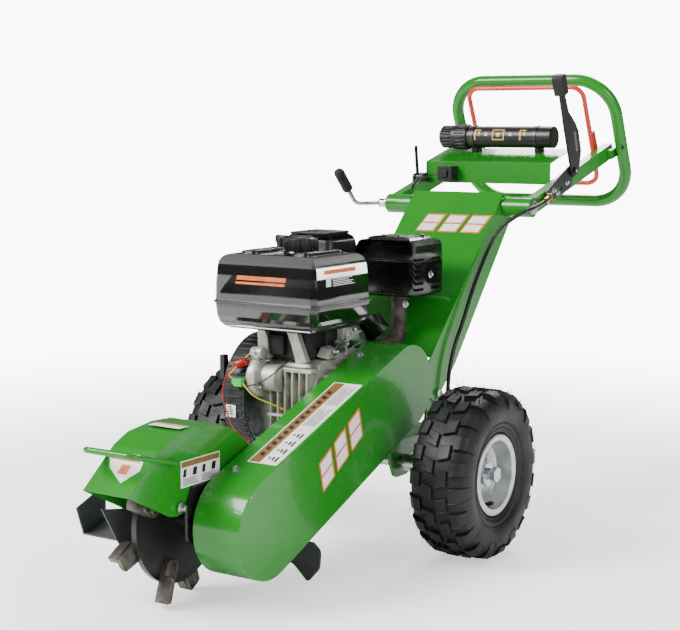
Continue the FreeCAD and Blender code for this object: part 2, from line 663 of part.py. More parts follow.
base_x = -shaft_end + 2
throttle_block = slab("YZ_Plane", outline([arm_point(118, 19.1), arm_point(152, 19.1),
                                           (*arm_point(148, 38), 6),
                                           (*arm_point(122, 38), 6)]), 30, (base_x, 0, 0))
throttle_pin = arm_point(135, 28)
slit = box(base_x + 5.6, base_x + 10.4, throttle_pin[0] - 60, throttle_pin[0] + 60, throttle_pin[1] - 7.2,
           throttle_pin[1] + 40)
name("throttle_base", join(cut(throttle_block, slit), rod_x(base_x + 5, base_x + 11, *throttle_pin, 3)))
throttle_tip = (585, 874)
throttle_tilt = math.degrees(math.atan2(throttle_tip[1] - throttle_pin[1],
                                        throttle_tip[0] - throttle_pin[0]))
throttle_length = math.hypot(throttle_tip[1] - throttle_pin[1], throttle_tip[0] - throttle_pin[0])
lever_outline = outline([(*along(*throttle_pin, throttle_tilt, -6.4, -6.4), 6),
                         (*along(*throttle_pin, throttle_tilt, throttle_length, -6), 5),
                         (*along(*throttle_pin, throttle_tilt, throttle_length, 6), 5),
                         (*along(*throttle_pin, throttle_tilt, -6.4, 6.4), 6)])
name("throttle_lever", cut(slab("YZ_Plane", lever_outline, 3, (base_x + 6.5, 0, 0)),
                           rod_x(base_x + 5, base_x + 11, *throttle_pin, 3.05)))
wire_x = base_x + 27
wire_route = [(wire_x, *arm_point(117.9, 28)), (wire_x, *arm_point(88, 28)), (wire_x, *arm_point(64, 16)),
              (wire_x - 1, 520, 716), (wire_x, 508, 686), (wire_x, 484, 656), (wire_x + 4, 440, 626),
              (wire_x + 6, 384, 600), (wire_x + 10, 322, 572), (wire_x + 12, 262, 540),
              (wire_x + 16, 206, 508),
              (-148, 170, 486), (-148, 130.1, 486)]
upper_wire, lower_wire = split_route(wire_route, 3)
name("throttle_cable_upper", tube(rounded_path(upper_wire, report="throttle cable, upper"), 3))
name("throttle_cable_lower", tube(rounded_path(lower_wire, report="throttle cable, lower"), 3))

# ---- engine: crankcase, slanted cylinder, fan housing with recoil starter, tank, filter, muffler -------

crank = (num("crank_y"), num("crank_z"))
left = num("engine_left")
right = num("engine_right")
foot = num("deck_top")
case = slab("YZ_Plane", outline([(crank[0] - 92, foot), (crank[0] + 92, foot), (crank[0] + 92, foot + 14),
                                 (crank[0] + 70, foot + 26), (crank[0] + 72, crank[1] - 30, 20),
                                 (crank[0] + 44, crank[1] + 84, 12), (crank[0] - 52, crank[1] + 88, 20),
                                 (crank[0] - 74, crank[1] + 30, 20), (crank[0] - 70, foot + 26),
                                 (crank[0] - 92, foot + 14)]), "engine_right - engine_left",
                                 ("engine_left", 0, 0))
cover = rod_x(right - 1, right + 14, *crank, 62)
straps = [box(-84, -78, crank[0] - 40, crank[0] - 20, crank[1] + 70, "tank_bottom"),
          box(-40, -34, crank[0] - 40, crank[0] - 20, crank[1] + 70, "tank_bottom"),
          box(-84, -34, crank[0] - 30, crank[0] - 20, "tank_bottom - 6", "tank_bottom")]
crank_bore = rod_x(left - 1, right + 16, *crank, "crank_radius + running_gap")
core = rod_x(left + 14, right - 12, *crank, 60)
name("crankcase", cut(join(case, cover, *straps), crank_bore, core))

slant = num("cylinder_slope")
mid = num("cylinder_mid")
flange = 50


def cylinder_point(distance, rise=0):
    """The (y, z) point along the cylinder's axis from the crankshaft."""
    return along(*crank, slant, distance, rise)


block = slab("YZ_Plane", outline([cylinder_point(flange, -42), cylinder_point(212, -42),
                                  cylinder_point(212, 42),
                                  cylinder_point(flange, 42)]), 92, (mid - 46, 0, 0))
fins = []
for step in range(9):
    at = flange + 36.5 + 11 * step
    fins.append(slab("YZ_Plane", outline([cylinder_point(at, -54), cylinder_point(at + 3.5, -54),
                                          cylinder_point(at + 3.5, 56), cylinder_point(at, 56)]), 116,
                                          (mid - 58, 0, 0)))
rocker = slab("YZ_Plane", outline([cylinder_point(186, -50), (*cylinder_point(222, -44), 12),
                                   (*cylinder_point(222, 44), 12), cylinder_point(186, 50)]), 100,
                                   (mid - 50, 0, 0))
case_clear = slab("YZ_Plane", outline([(crank[0] - 100, foot - 5), (crank[0] + 92.5, foot - 5),
                                       (crank[0] + 92.5, foot + 14.3),
                                       (crank[0] + 70.5, foot + 26.3), (crank[0] + 72.3, crank[1] - 30, 20),
                                       (crank[0] + 44.3, crank[1] + 84.3, 12),
                                       (crank[0] - 100, crank[1] + 84.3)]), 200,
                  (mid - 100, 0, 0))
name("cylinder", cut(join(block, *fins, rocker), case_clear))
shroud = slab("YZ_Plane", outline([cylinder_point(60, 84), cylinder_point(182, 62), cylinder_point(182, 60),
                                   cylinder_point(60, 82)]), 128, (mid - 64, 0, 0))
shroud_side = slab("YZ_Plane", outline([cylinder_point(100, 10), cylinder_point(182, 10),
                                        cylinder_point(182, 61),
                                        cylinder_point(100, 75)]), 2, (mid + 62, 0, 0))
shroud_web = slab("YZ_Plane", outline([cylinder_point(121, 56.3), cylinder_point(124.5, 56.3),
                                       cylinder_point(124.5, 73),
                                       cylinder_point(121, 73)]), 112, (mid - 56, 0, 0))
name("cylinder_shroud", join(shroud, shroud_side, shroud_web))

fan_left = -186
fan_right = left - 0.3
fan = num("fan_radius")
housing = rod_x(fan_left, fan_right, *crank, "fan_radius")
housing_hollow = rod_x(fan_left + 3, fan_right + 1, *crank, "fan_radius - 3")
under = box(fan_left - 1, fan_right + 2, crank[0] - fan - 5, crank[0] + fan + 5, crank[1] - fan - 5,
            foot + 3)
eye = rod_x(fan_left - 1, fan_left + 4, *crank, 60)
name("fan_housing", cut(housing, housing_hollow, under, eye))
recoil = turned(outline([(-36, 0), (-36, 46, 6), (-26, num("recoil_radius") - 12, 8),
                         (-0.2, num("recoil_radius")),
                         (-0.2, num("recoil_radius") - 3), (-23, num("recoil_radius") - 15, 5),
                         (-33, 44, 4), (-33, 0)]),
                (fan_left, *crank))
handle_y = crank[0] - 74
handle_z = crank[1] + 66
slots = []
for step in range(12):
    angle = 30 * step + 15
    turn = math.radians(angle)
    corner_y = crank[0] + 54 * math.cos(turn) + 3.5 * math.sin(turn)
    corner_z = crank[1] + 54 * math.sin(turn) - 3.5 * math.cos(turn)
    slots.append(shape("Box", (fan_left - 40, corner_y, corner_z), ((1, 0, 0), angle),
                       Length=20, Width=30, Height=7))
rope_hole = rod_y(handle_y - 40, handle_y + 30, fan_left - 14, handle_z, 4.5)
name("recoil_cover", cut(recoil, *slots, rope_hole))
edge_y = crank[0] - math.sqrt(num("recoil_radius") ** 2 - (handle_z - 26 - crank[1]) ** 2) + 0.4
name("recoil_handle", join(box(fan_left - 20, fan_left - 8, edge_y - 16, edge_y, handle_z - 26,
                               handle_z + 26),
                           rod_y(edge_y - 0.5, edge_y + 36, fan_left - 14, handle_z, 3.9)))
flywheel = turned(outline([(fan_left + 8, 0), (fan_left + 8, 55), (fan_left + 10, fan - 22),
                           (fan_left + 30, fan - 22),
                           (fan_left + 36, 60), (left - 6, 30), (left - 6, num("crank_radius")),
                           (num("belt_left + belt_width") + 12, num("crank_radius")),
                           (num("belt_left + belt_width") + 12, 0)]),
                  (0, *crank))
name("crankshaft", flywheel)
starter_at = (crank[0] - 94.6, crank[1] + 64)
name("starter_motor", join(rod_x(left, left + 92, *starter_at, 31),
                           rod_x(left + 91, left + 98, *starter_at, 22),
                           rod_x(left, left + 60, starter_at[0] - 14, starter_at[1] + 44, 17)))

tank_left = num("tank_left")
tank_right = num("tank_right")
tank_front = num("tank_front")
tank_rear = num("tank_rear")


def tank_shell(z_low, z_high, inset_low, inset_high, corner):
    """A lofted box with round corners, as one half of the pressed tank."""
    rings = []
    for z, inset in ((z_low, inset_low), (z_high, inset_high)):
        edges = outline([(tank_left + inset, tank_front + inset, corner),
                         (tank_right - inset, tank_front + inset, corner),
                         (tank_right - inset, tank_rear - inset, corner),
                         (tank_left + inset, tank_rear - inset, corner)])
        ring = doc.addObject("Part::Feature", "ring")
        wire = Part.Wire(Part.__sortEdges__([edge.toShape() for edge in edges]))
        wire.translate(FreeCAD.Vector(0, 0, z))
        ring.Shape = wire
        rings.append(ring)
    loft = doc.addObject("Part::Loft", "loft")
    loft.Sections = rings
    loft.Solid = True
    loft.Ruled = True
    return loft


seam = num("tank_seam")
tank = join(tank_shell(num("tank_bottom"), seam - 1, 26, 6, 28), tank_shell(seam - 1, seam + 2, 0, 0, 30),
            tank_shell(seam + 2, num("tank_top") - 12, 5, 13, 26),
            tank_shell(num("tank_top") - 12, num("tank_top"), 13, 26, 20))
cap_x = -69
cap_y = -118
neck = rod_z(num("tank_top") - 1, num("tank_top") + 8, cap_x, cap_y, 22)
tank_hollow = tank_shell(num("tank_bottom") + 2, num("tank_top") - 14, 30, 30, 10)
throat = rod_z(num("tank_top") - 30, num("tank_top") + 9, cap_x, cap_y, 19)
name("fuel_tank", cut(join(tank, neck), tank_hollow, throat))
cap_low = num("tank_top") + 0.4
cap_top = cap_low + 28
name("fuel_cap", cut(rod_z(cap_low, cap_top, cap_x, cap_y, "cap_radius"),
                     rod_z(cap_low - 1, cap_low + 9, cap_x, cap_y, 22.3)))

filter_left, filter_right = -214, -52
filter_front, filter_rear = 0, 128
filter_low, filter_top = 556, 682
filter_cover = slab("XY_Plane", outline([(filter_left, filter_front, 20), (filter_right, filter_front, 20),
                                         (filter_right, filter_rear, 20), (filter_left, filter_rear, 20)]),
                    filter_top - filter_low - 30, (0, 0, filter_low + 30))
filter_hollow = slab("XY_Plane", outline([(filter_left + 3, filter_front + 3, 17),
                                          (filter_right - 3, filter_front + 3, 17),
                                          (filter_right - 3, filter_rear - 3, 17),
                                          (filter_left + 3, filter_rear - 3, 17)]),
                     filter_top - filter_low - 33, (0, 0, filter_low + 29.9))
name("air_filter_cover", cut(filter_cover, filter_hollow))
filter_base = join(box(filter_left + 6, filter_right - 6, filter_front + 6, filter_rear - 6, filter_low,
                       filter_low + 29.9),
                   box(-164, -124, 28, 72, 416, filter_low + 1), rod_y(71, 130, -148, 486, 9),
                   rod_x(-125, mid - 50.3, *cylinder_point(196, 20), 14))
name("carburettor", filter_base)

muffler_left, muffler_right = -46, 92
muffler_front, muffler_rear = 92, 234
muffler_low, muffler_top = 541, 655
lid = muffler_top - 26
muffler_shell = slab("XY_Plane", outline([(muffler_left, muffler_front, 14),
                                          (muffler_right, muffler_front, 14),
                                          (muffler_right, muffler_rear, 14),
                                          (muffler_left, muffler_rear, 14)]),
                     lid - muffler_low, (0, 0, muffler_low))
muffler_lid = slab("XY_Plane", outline([(muffler_left + 4, muffler_front + 4, 12),
                                        (muffler_right - 4, muffler_front + 4, 12),
                                        (muffler_right - 4, muffler_rear - 4, 12),
                                        (muffler_left + 4, muffler_rear - 4, 12)]),
                   26, (0, 0, lid))
muffler_hollow = box(muffler_left + 9, muffler_right - 9, muffler_front + 9, muffler_rear - 9,
                     muffler_low + 4,
                     muffler_top - 4)
outlet = rod_x(muffler_right - 12, muffler_right + 1, (muffler_front + muffler_rear) / 2, 588, 16)
name("muffler", cut(join(muffler_shell, muffler_lid), muffler_hollow, outlet))
port_x = mid + 50.3
elbow_y = 126
elbow_path = rounded_path([(port_x, *cylinder_point(200, 6)), (port_x + 42, *cylinder_point(200, 6)),
                           (port_x + 42, elbow_y, 440), (port_x + 42, elbow_y, muffler_low - 0.3)], radii=30)
name("exhaust_elbow", tube(elbow_path, 17))

# ---- belt guard and belt drive -------------------------------------------------------------------------

rear = (num("guard_rear_y"), num("guard_rear_z"), num("guard_rear_radius"))
nose = (num("guard_front_y"), num("guard_front_z"), num("guard_front_radius"))
skin = num("guard_sheet")
guard_skin = slab("YZ_Plane", stadium(*nose, *rear), "guard_outer - guard_inner", ("guard_inner", 0, 0))
guard_room = slab("YZ_Plane", stadium(nose[0], nose[1], nose[2] - skin, rear[0], rear[1], rear[2] - skin),
                  "guard_outer - guard_inner", ("guard_inner - guard_sheet", 0, 0))
name("belt_guard", cut(guard_skin, guard_room))
cutter = (num("cutter_y"), num("cutter_z"))
backing = slab("YZ_Plane", stadium(*nose, *rear), 5, ("guard_inner - 5.1", 0, 0))
name("guard_plate", cut(backing, rod_x("guard_inner - 8", "guard_inner + 1", *crank, 30),
                        rod_x("guard_inner - 8", "guard_inner + 1", *cutter, 41)))
belt_low = num("belt_left")
belt_high = belt_low + num("belt_width")
drum_bore = rod_x(belt_low - 12, belt_high + 8, *crank, "crank_radius + running_gap")
name("clutch_drum", cut(join(rod_x(belt_low, belt_high, *crank, "drum_radius"),
                             rod_x(belt_low - 3, belt_low, *crank, "drum_radius + 7"),
                             rod_x(belt_high, belt_high + 3, *crank, "drum_radius + 7")), drum_bore))
pulley_bore = rod_x(belt_low - 12, belt_high + 8, *cutter, "shaft_r + 0.02")
name("driven_pulley", cut(join(rod_x(belt_low, belt_high, *cutter, "pulley_radius"),
                               rod_x(belt_low - 3, belt_low, *cutter, "pulley_radius + 5"),
                               rod_x(belt_high, belt_high + 3, *cutter, "pulley_radius + 5")), pulley_bore))
gap = num("seat_gap")
thick = num("belt_thick")
drum = num("drum_radius")
pulley = num("pulley_radius")
belt_body = slab("YZ_Plane", stadium(*cutter, pulley + gap + thick, *crank, drum + gap + thick),
                 "belt_width - 1",
                 ("belt_left + 0.5", 0, 0))
belt_room = slab("YZ_Plane", stadium(*cutter, pulley + gap, *crank, drum + gap), "belt_width + 2",
                 ("belt_left - 1", 0, 0))
name("drive_belt", cut(belt_body, belt_room))

# ---- cutter: shaft in two flanged bearings, disc with bolted teeth --------------------------------------

hood_left = num("hood_left")
hood_right = num("hood_right")
deck_under = num("deck_top - deck_sheet")
mount_end = num("deck_front") + 34
mount_step = num("deck_front") - 0.4
mount_outline = outline([(-640, 206, 12), (-640, 136, 20), (-596, 112, 20), (-560, 112, 20), (-500, 190, 20),
                         (mount_end, 200), (mount_end, deck_under), (mount_step, deck_under),
                         (mount_step, 240, 3),
                         (-622, 240, 14)])
mounts = []
for low, bearing_low, bearing_high in ((hood_left - 6, hood_left - 26, hood_left),
                                       (hood_right, hood_right, hood_right + 26)):
    plate = slab("YZ_Plane", mount_outline, 6, (low, 0, 0))
    mounts.append(cut(join(plate, rod_x(bearing_low, bearing_high, *cutter, 38)),
                      rod_x(bearing_low - 1, bearing_high + 1, *cutter, "shaft_r + running_gap")))
name("bearing_mounts", group(*mounts))
disc_low = num("cutter_x - disc_thick / 2")
disc_high = num("cutter_x + disc_thick / 2")
name("cutter_shaft", join(rod_x(hood_left - 40, belt_high + 14, *cutter, "shaft_r"),
                          rod_x(disc_low - 14, disc_low - 0.1, *cutter, 34),
                          rod_x(hood_left - 40, hood_left - 30, *cutter, 19)))
tooth_half = num("tooth_half")
step_angle = 360 / num("tooth_count")


def tip_radius():
    """The tooth circle that lets the two lowest teeth stand on the ground."""
    reach = num("cutter_z") / math.cos(math.radians(step_angle / 2 - 6))
    for _ in range(8):
        half_angle = math.asin(tooth_half / reach)
        reach = num("cutter_z") / math.cos(math.radians(step_angle / 2) - half_angle)
    return reach


tip = tip_radius()
disc = cut(rod_x(disc_low, disc_high, *cutter, "disc_radius"),
           rod_x(disc_low - 1, disc_high + 1, *cutter, "shaft_r + 0.05"))
teeth = []
for index in range(int(num("tooth_count"))):
    turn = math.radians(step_angle * (index + 0.5))
    side = 1 if index % 2 else -1

    def tooth_point(radial, across):
        """A (y, z) point on one tooth, from the cutter's axis."""
        return (cutter[0] + radial * math.sin(turn) + across * math.cos(turn),
                cutter[1] - radial * math.cos(turn) + across * math.sin(turn))

    end = math.sqrt(tip ** 2 - tooth_half ** 2)
    face = disc_high + 0.1 if side > 0 else disc_low - 12.1
    shank = slab("YZ_Plane", outline([(*tooth_point(84, -tooth_half), 8), (*tooth_point(84, tooth_half), 8),
                                      tooth_point(end, tooth_half), tooth_point(end, -tooth_half)]), 12,
                                      (face, 0, 0))
    lip_low = disc_high + 11 if side > 0 else disc_low - 34
    lip = slab("YZ_Plane", outline([tooth_point(132, tooth_half), tooth_point(end, tooth_half),
                                    tooth_point(end, -tooth_half), (*tooth_point(140, -tooth_half), 6)]), 23,
               (lip_low, 0, 0))
    heads = []
    for radial in (97, 120):
        hole_low = disc_high + 11 if side > 0 else disc_low - 19
        heads.append(rod_x(hole_low, hole_low + 8, *tooth_point(radial, 0), 8))
    teeth.append(join(shank, lip, *heads))
name("cutter_disc", disc)
name("cutter_teeth", group(*teeth))

# ---- hood over the cutter, its lifting handle, the side deflector and the debris flap ------------------

sheet_t = num("hood_sheet")
hood_outline = [(-800, 254), (-684, 194, 10), (-660, 190), (-640, 206), (-622, 240.4), (mount_step, 240.4),
                (-432, 288, 60), (-486, 330, 60), (-540, 350, 60), (-600, 353, 60), (-672, 344, 40),
                (-712, 326, 30)]
hood_room = [(-900, 200), (-797, 251.5), (-709, 322, 28), (-671, 341, 38), (-600, 350, 58), (-541, 347, 58),
             (-488, 327, 58), (-435, 285.5, 58), (-402, 238), (-402, 100), (-900, 100)]
hood = cut(slab("YZ_Plane", outline(hood_outline), "hood_right - hood_left", ("hood_left", 0, 0)),
           slab("YZ_Plane", outline(hood_room), "hood_right - hood_left - 2 * hood_sheet",
                ("hood_left + hood_sheet", 0, 0)))
name("hood", hood)
bar_half = 6
bar_y, bar_z = -792, 330
handle_path = rounded_path([(hood_left - bar_half - 0.1, -672, 296),
                            (hood_left - bar_half - 0.1, bar_y, bar_z),
                            (hood_right + bar_half + 0.1, bar_y, bar_z),
                            (hood_right + bar_half + 0.1, -672, 296)], radii=18)
name("lift_handle", tube(handle_path, bar_half))
chute_right = hood_left - 0.3
chute_left = chute_right - 86
chute_wall = slab("YZ_Plane", outline([(-728, 193), (-677, 212), (-645, 212), (-645, 152), (-710, 140)]),
                  sheet_t,
                  (chute_left, 0, 0))
chute_floor = slab("YZ_Plane", outline([(-645, 149), (-710, 137), (-710, 140), (-645, 152)]),
                   chute_right - chute_left,
                   (chute_left, 0, 0))
chute_plate = slab("YZ_Plane", outline([(-748, 207), (-690, 196), (-680, 214), (-645, 214), (-645, 122),
                                        (-696, 123),
                                        (-707, 138)]), sheet_t, (chute_right - sheet_t, 0, 0))
name("deflector", join(chute_wall, chute_floor, chute_plate))
flap_y = num("deck_front") + 8
flap = outline([(hood_left + 5, 60, 20), (100, 48, 30), (137, 14, 6), (164, 44, 20), (168, 82, 20),
                (150, 97, 6),
                (hood_right - 3, 97), (hood_right - 3, deck_under - 0.3), (hood_left + 5, deck_under - 0.3)])
name("rubber_flap", slab("XZ_Plane", flap, 6, (0, flap_y, 0)))
name("fasteners", group(*fasteners))

# ---- finish: move every sub-part to the shared origin, check it and write it --------------------------

for piece in PIECES:
    bound = {path.lstrip("."): text for path, text in piece.ExpressionEngine}
    bound = bound.get("Placement.Base.y", str(piece.Placement.Base.y))
    piece.setExpression("Placement.Base.y", "(%s) + sizes.origin_y" % bound)
doc.recompute()
for item in doc.Objects:
    if "Invalid" in item.State or "Error" in item.State:
        raise RuntimeError("%s (%s) failed: %s" % (item.Name, item.Label, item.State))
os.makedirs("parts", exist_ok=True)
for piece in PIECES:
    if piece.Shape.isNull() or not piece.Shape.isValid() or not piece.Shape.Solids:
        raise RuntimeError(piece.Label + " has no valid solid")
for piece in PIECES:
    piece.Shape.exportStep("parts/%s.step" % piece.Label)
print(len(PIECES), "sub-parts written")
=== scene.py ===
import math
import random

import bmesh
import bpy
from mathutils import Matrix, Vector


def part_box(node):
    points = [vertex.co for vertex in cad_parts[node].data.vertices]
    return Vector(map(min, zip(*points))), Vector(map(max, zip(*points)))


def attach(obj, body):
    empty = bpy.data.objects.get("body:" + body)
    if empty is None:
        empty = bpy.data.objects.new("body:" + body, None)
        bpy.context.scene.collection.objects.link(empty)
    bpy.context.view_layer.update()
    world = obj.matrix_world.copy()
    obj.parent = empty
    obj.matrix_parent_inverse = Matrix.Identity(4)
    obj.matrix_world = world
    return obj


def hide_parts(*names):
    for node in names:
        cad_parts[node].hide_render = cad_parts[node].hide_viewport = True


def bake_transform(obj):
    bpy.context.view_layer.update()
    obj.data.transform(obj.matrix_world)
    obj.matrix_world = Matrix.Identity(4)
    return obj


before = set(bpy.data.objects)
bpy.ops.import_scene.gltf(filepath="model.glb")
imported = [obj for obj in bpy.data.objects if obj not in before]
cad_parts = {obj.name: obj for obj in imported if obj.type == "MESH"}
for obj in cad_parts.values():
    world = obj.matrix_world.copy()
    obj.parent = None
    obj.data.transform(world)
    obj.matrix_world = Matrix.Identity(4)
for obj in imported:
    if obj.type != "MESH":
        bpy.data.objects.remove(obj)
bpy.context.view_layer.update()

# ---- Studio -------------------------------------------------------------------------------------------
# A plain pale floor under a white surround, lit by three large soft boxes: a key from the front left,
# a fill from the right and a rim light from behind. The camera stands low in front, on the guard side.


def aimed(place, target):
    """The matrix of a camera or lamp that stands at place and looks at target."""
    place, target = Vector(place), Vector(target)
    return Matrix.Translation(place) @ (target - place).to_track_quat("-Z", "Y").to_matrix().to_4x4()


camera_data = bpy.data.cameras.new("camera")
camera_data.lens = 79.7
camera_data.sensor_width = 36.0
camera_data.clip_end = 100.0
camera = bpy.data.objects.new("camera", camera_data)
camera.matrix_world = aimed((1.8003, -2.9282, 0.9248), (-0.0452, -0.1071, 0.5011))
bpy.context.scene.collection.objects.link(camera)
bpy.context.scene.camera = camera

for title, place, width, power in (("key", (-2.4, -3.2, 3.4), 2.2, 400), ("fill", (3.4, -1.2, 2.0), 2.0, 70),
                                   ("rim", (-0.6, 3.2, 3.2), 2.2, 220)):
    lamp_data = bpy.data.lights.new(title, "AREA")
    lamp_data.size = width
    lamp_data.energy = power
    lamp = bpy.data.objects.new(title, lamp_data)
    lamp.matrix_world = aimed(place, (0, 0, 0.4))
    bpy.context.scene.collection.objects.link(lamp)


def linear(code):
    """A six-digit sRGB hex colour as linear red, green, blue and alpha."""
    parts = [int(code[i:i + 2], 16) / 255 for i in (0, 2, 4)]
    return [*(p / 12.92 if p <= 0.04045 else ((p + 0.055) / 1.055) ** 2.4 for p in parts), 1.0]


def add(tree, kind, inputs=None, **settings):
    """Add a node to a tree, give it its settings, and set or link each of its inputs."""
    made = tree.nodes.new("ShaderNode" + kind)
    for key, value in settings.items():
        setattr(made, key, value)
    for key, value in (inputs or {}).items():
        if isinstance(value, bpy.types.NodeSocket):
            tree.links.new(value, made.inputs[key])
        else:
            made.inputs[key].default_value = value
    return made


surround = bpy.data.worlds.new("surround")
surround.use_nodes = True
room = surround.node_tree
room.nodes.clear()
path = add(room, "LightPath")
soft_light = add(room, "Background", {"Color": linear("ffffff"), "Strength": 0.6})
mirrored = add(room, "Background", {"Color": linear("ffffff"), "Strength": 0.16})
backdrop = add(room, "Background", {"Color": linear("ffffff"), "Strength": 10.0})
indirect = add(room, "MixShader", {0: path.outputs["Is Glossy Ray"], 1: soft_light.outputs["Background"],
                                   2: mirrored.outputs["Background"]})
either = add(room, "MixShader", {0: path.outputs["Is Camera Ray"], 1: indirect.outputs["Shader"],
                                 2: backdrop.outputs["Background"]})
add(room, "OutputWorld", {"Surface": either.outputs["Shader"]})
bpy.context.scene.world = surround


def shader(name, colour, **inputs):
    """A new material with one shader; returns the material, its tree and the shader."""
    made = bpy.data.materials.new(name)
    made.use_nodes = True
    tree = made.node_tree
    tree.nodes.clear()
    surface = add(tree, "BsdfPrincipled", {"Base Color": linear(colour)})
    for key, value in inputs.items():
        surface.inputs[key.replace("_", " ")].default_value = value
    add(tree, "OutputMaterial", {"Surface": surface.outputs["BSDF"]})
    return made, tree, surface


def mottle(tree, surface, size, dark, light, detail=3.0):
    """Let the colour drift between two shades in patches of a real size in millimetres."""
    place = add(tree, "TexCoord").outputs["Object"]
    patches = add(tree, "TexNoise", {"Vector": place, "Scale": 1000 / size, "Detail": detail})
    shades = add(tree, "ValToRGB", {"Fac": patches.outputs["Fac"]})
    shades.color_ramp.elements[0].position = 0.35
    shades.color_ramp.elements[0].color = linear(dark)
    shades.color_ramp.elements[1].position = 0.65
    shades.color_ramp.elements[1].color = linear(light)
    tree.links.new(shades.outputs["Color"], surface.inputs["Base Color"])


def relief(tree, surface, size, height, detail=2.0, rounded=0.0, sheen=None):
    """Grain of a real size and height in millimetres, on edges rounded by a radius in millimetres.

    Sheen is the pair of roughness values that the surface drifts between.
    """
    place = add(tree, "TexCoord").outputs["Object"]
    grain = add(tree, "TexNoise", {"Vector": place, "Scale": 1000 / size, "Detail": detail})
    bump = add(tree, "Bump", {"Height": grain.outputs["Fac"], "Distance": height / 1000, "Strength": 1.0})
    if rounded:
        soft_edge = add(tree, "Bevel", {"Radius": rounded / 1000}, samples=4)
        tree.links.new(soft_edge.outputs["Normal"], bump.inputs["Normal"])
    tree.links.new(bump.outputs["Normal"], surface.inputs["Normal"])
    if sheen:
        drift = add(tree, "TexNoise", {"Vector": place, "Scale": 14.0, "Detail": 4.0})
        spread = add(tree, "MapRange", {"Value": drift.outputs["Fac"], "From Min": 0.3, "From Max": 0.7,
                                        "To Min": sheen[0], "To Max": sheen[1]})
        tree.links.new(spread.outputs["Result"], surface.inputs["Roughness"])


def material(name, colour, patch, shades, grain, height, sheen, detail=3.0, pores=2.0, rounded=0.0,
             **inputs):
    """A material whose colour drifts in patches and whose surface has grain; sizes in millimetres."""
    made, tree, surface = shader(name, colour, **inputs)
    mottle(tree, surface, patch, *shades, detail)
    relief(tree, surface, grain, height, pores, rounded, sheen)
    return made


# Matt white board, with only a faint unevenness, which glows softly towards its far edge so that it
# runs into the white surround.
board, board_tree, board_surface = shader("matt_white_board", "f4f4f4", Roughness=0.9,
                                          Specular_IOR_Level=0.1)
mottle(board_tree, board_surface, 900, "f4f4f4", "fafafa")
reach = add(board_tree, "VectorMath", {0: add(board_tree, "TexCoord").outputs["Object"]}, operation="LENGTH")
glow = add(board_tree, "MapRange", {"Value": reach.outputs["Value"], "From Min": 0.9, "From Max": 3.6,
                                    "To Min": 0.8, "To Max": 9.0}, interpolation_type="SMOOTHSTEP")
only_seen = add(board_tree, "Math", {0: glow.outputs["Result"],
                                     1: add(board_tree, "LightPath").outputs["Is Camera Ray"]},
                           operation="MULTIPLY")
board_surface.inputs["Emission Color"].default_value = linear("ffffff")
board_tree.links.new(only_seen.outputs["Value"], board_surface.inputs["Emission Strength"])
floor_shape = bmesh.new()
bmesh.ops.create_circle(floor_shape, cap_ends=True, segments=96, radius=30.0)
floor_mesh = bpy.data.meshes.new("floor")
floor_shape.to_mesh(floor_mesh)
floor = bpy.data.objects.new("floor", floor_mesh)
floor.data.materials.append(board)
bpy.context.scene.collection.objects.link(floor)

# ---- Tyres --------------------------------------------------------------------------------------------
# Two 14.5 x 7.0-6 off-road tyres, moulded black rubber with staggered tread blocks. The mould leaves
# fine rubber hairs on the tread and shallow rings round the sidewall.

axle_low, axle_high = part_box("axle")
axle_y = (axle_low.y + axle_high.y) / 2
axle_z = (axle_low.z + axle_high.z) / 2


def mm(x, y, z):
    """A place in the frame from millimetres, with y counted from the wheel axle."""
    return Vector((x / 1000, y / 1000 + axle_y, z / 1000))


def coat(finish, *names):
    """Give CAD nodes a finish."""
    for name in names:
        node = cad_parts[name]
        node.data.materials.clear()
        node.data.materials.append(finish)


def build(name, shape, finish, body, crease=35):
    """Make a piece from a shape in place: merged, facing out, smooth up to any crease, and riding."""
    bmesh.ops.remove_doubles(shape, verts=shape.verts, dist=1e-6)
    bmesh.ops.recalc_face_normals(shape, faces=shape.faces)
    mesh = bpy.data.meshes.new(name)
    shape.to_mesh(mesh)
    shape.free()
    mesh.shade_smooth()
    if crease:
        mesh.set_sharp_from_angle(angle=math.radians(crease))
    mesh.materials.append(finish)
    made = bpy.data.objects.new(name, mesh)
    bpy.context.scene.collection.objects.link(made)
    if body:
        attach(made, body)
    return made


def rod(shape, start, end, radius, end_radius=None, sides=24, soft=0.0):
    """Add a closed round bar between two places; radius and soft, the rounding of its rims, in metres."""
    axis = Vector(end) - Vector(start)
    turned = axis.to_track_quat("Z", "Y").to_matrix().to_4x4()
    place = Matrix.Translation((Vector(start) + Vector(end)) / 2) @ turned
    made = bmesh.ops.create_cone(shape, cap_ends=True, segments=sides, radius1=radius,
                                 radius2=radius if end_radius is None else end_radius,
                                 depth=axis.length, matrix=place)
    if soft:
        caps = [f for v in made["verts"] for f in v.link_faces if len(f.verts) == sides]
        soften(shape, caps, soft)


def plate(shape, places, shift):
    """Add a flat plate, an outline of places thickened by a shift; returns its shifted points and faces."""
    face = shape.faces.new([shape.verts.new(place) for place in places])
    raised = bmesh.ops.extrude_face_region(shape, geom=[face], use_keep_orig=True)
    moved = [g for g in raised["geom"] if isinstance(g, bmesh.types.BMVert)]
    bmesh.ops.translate(shape, verts=moved, vec=shift)
    return moved, [g for g in raised["geom"] if isinstance(g, bmesh.types.BMFace)]


def soften(shape, faces_or_points, offset, segments=2):
    """Round every edge of some faces, or every edge that meets some points, by an offset in metres."""
    edges = []
    for part in faces_or_points:
        edges += part.edges if isinstance(part, bmesh.types.BMFace) else part.link_edges
    bmesh.ops.bevel(shape, geom=list(dict.fromkeys(edges)), offset=offset, segments=segments, profile=0.5,
                    affect="EDGES", material=-1)


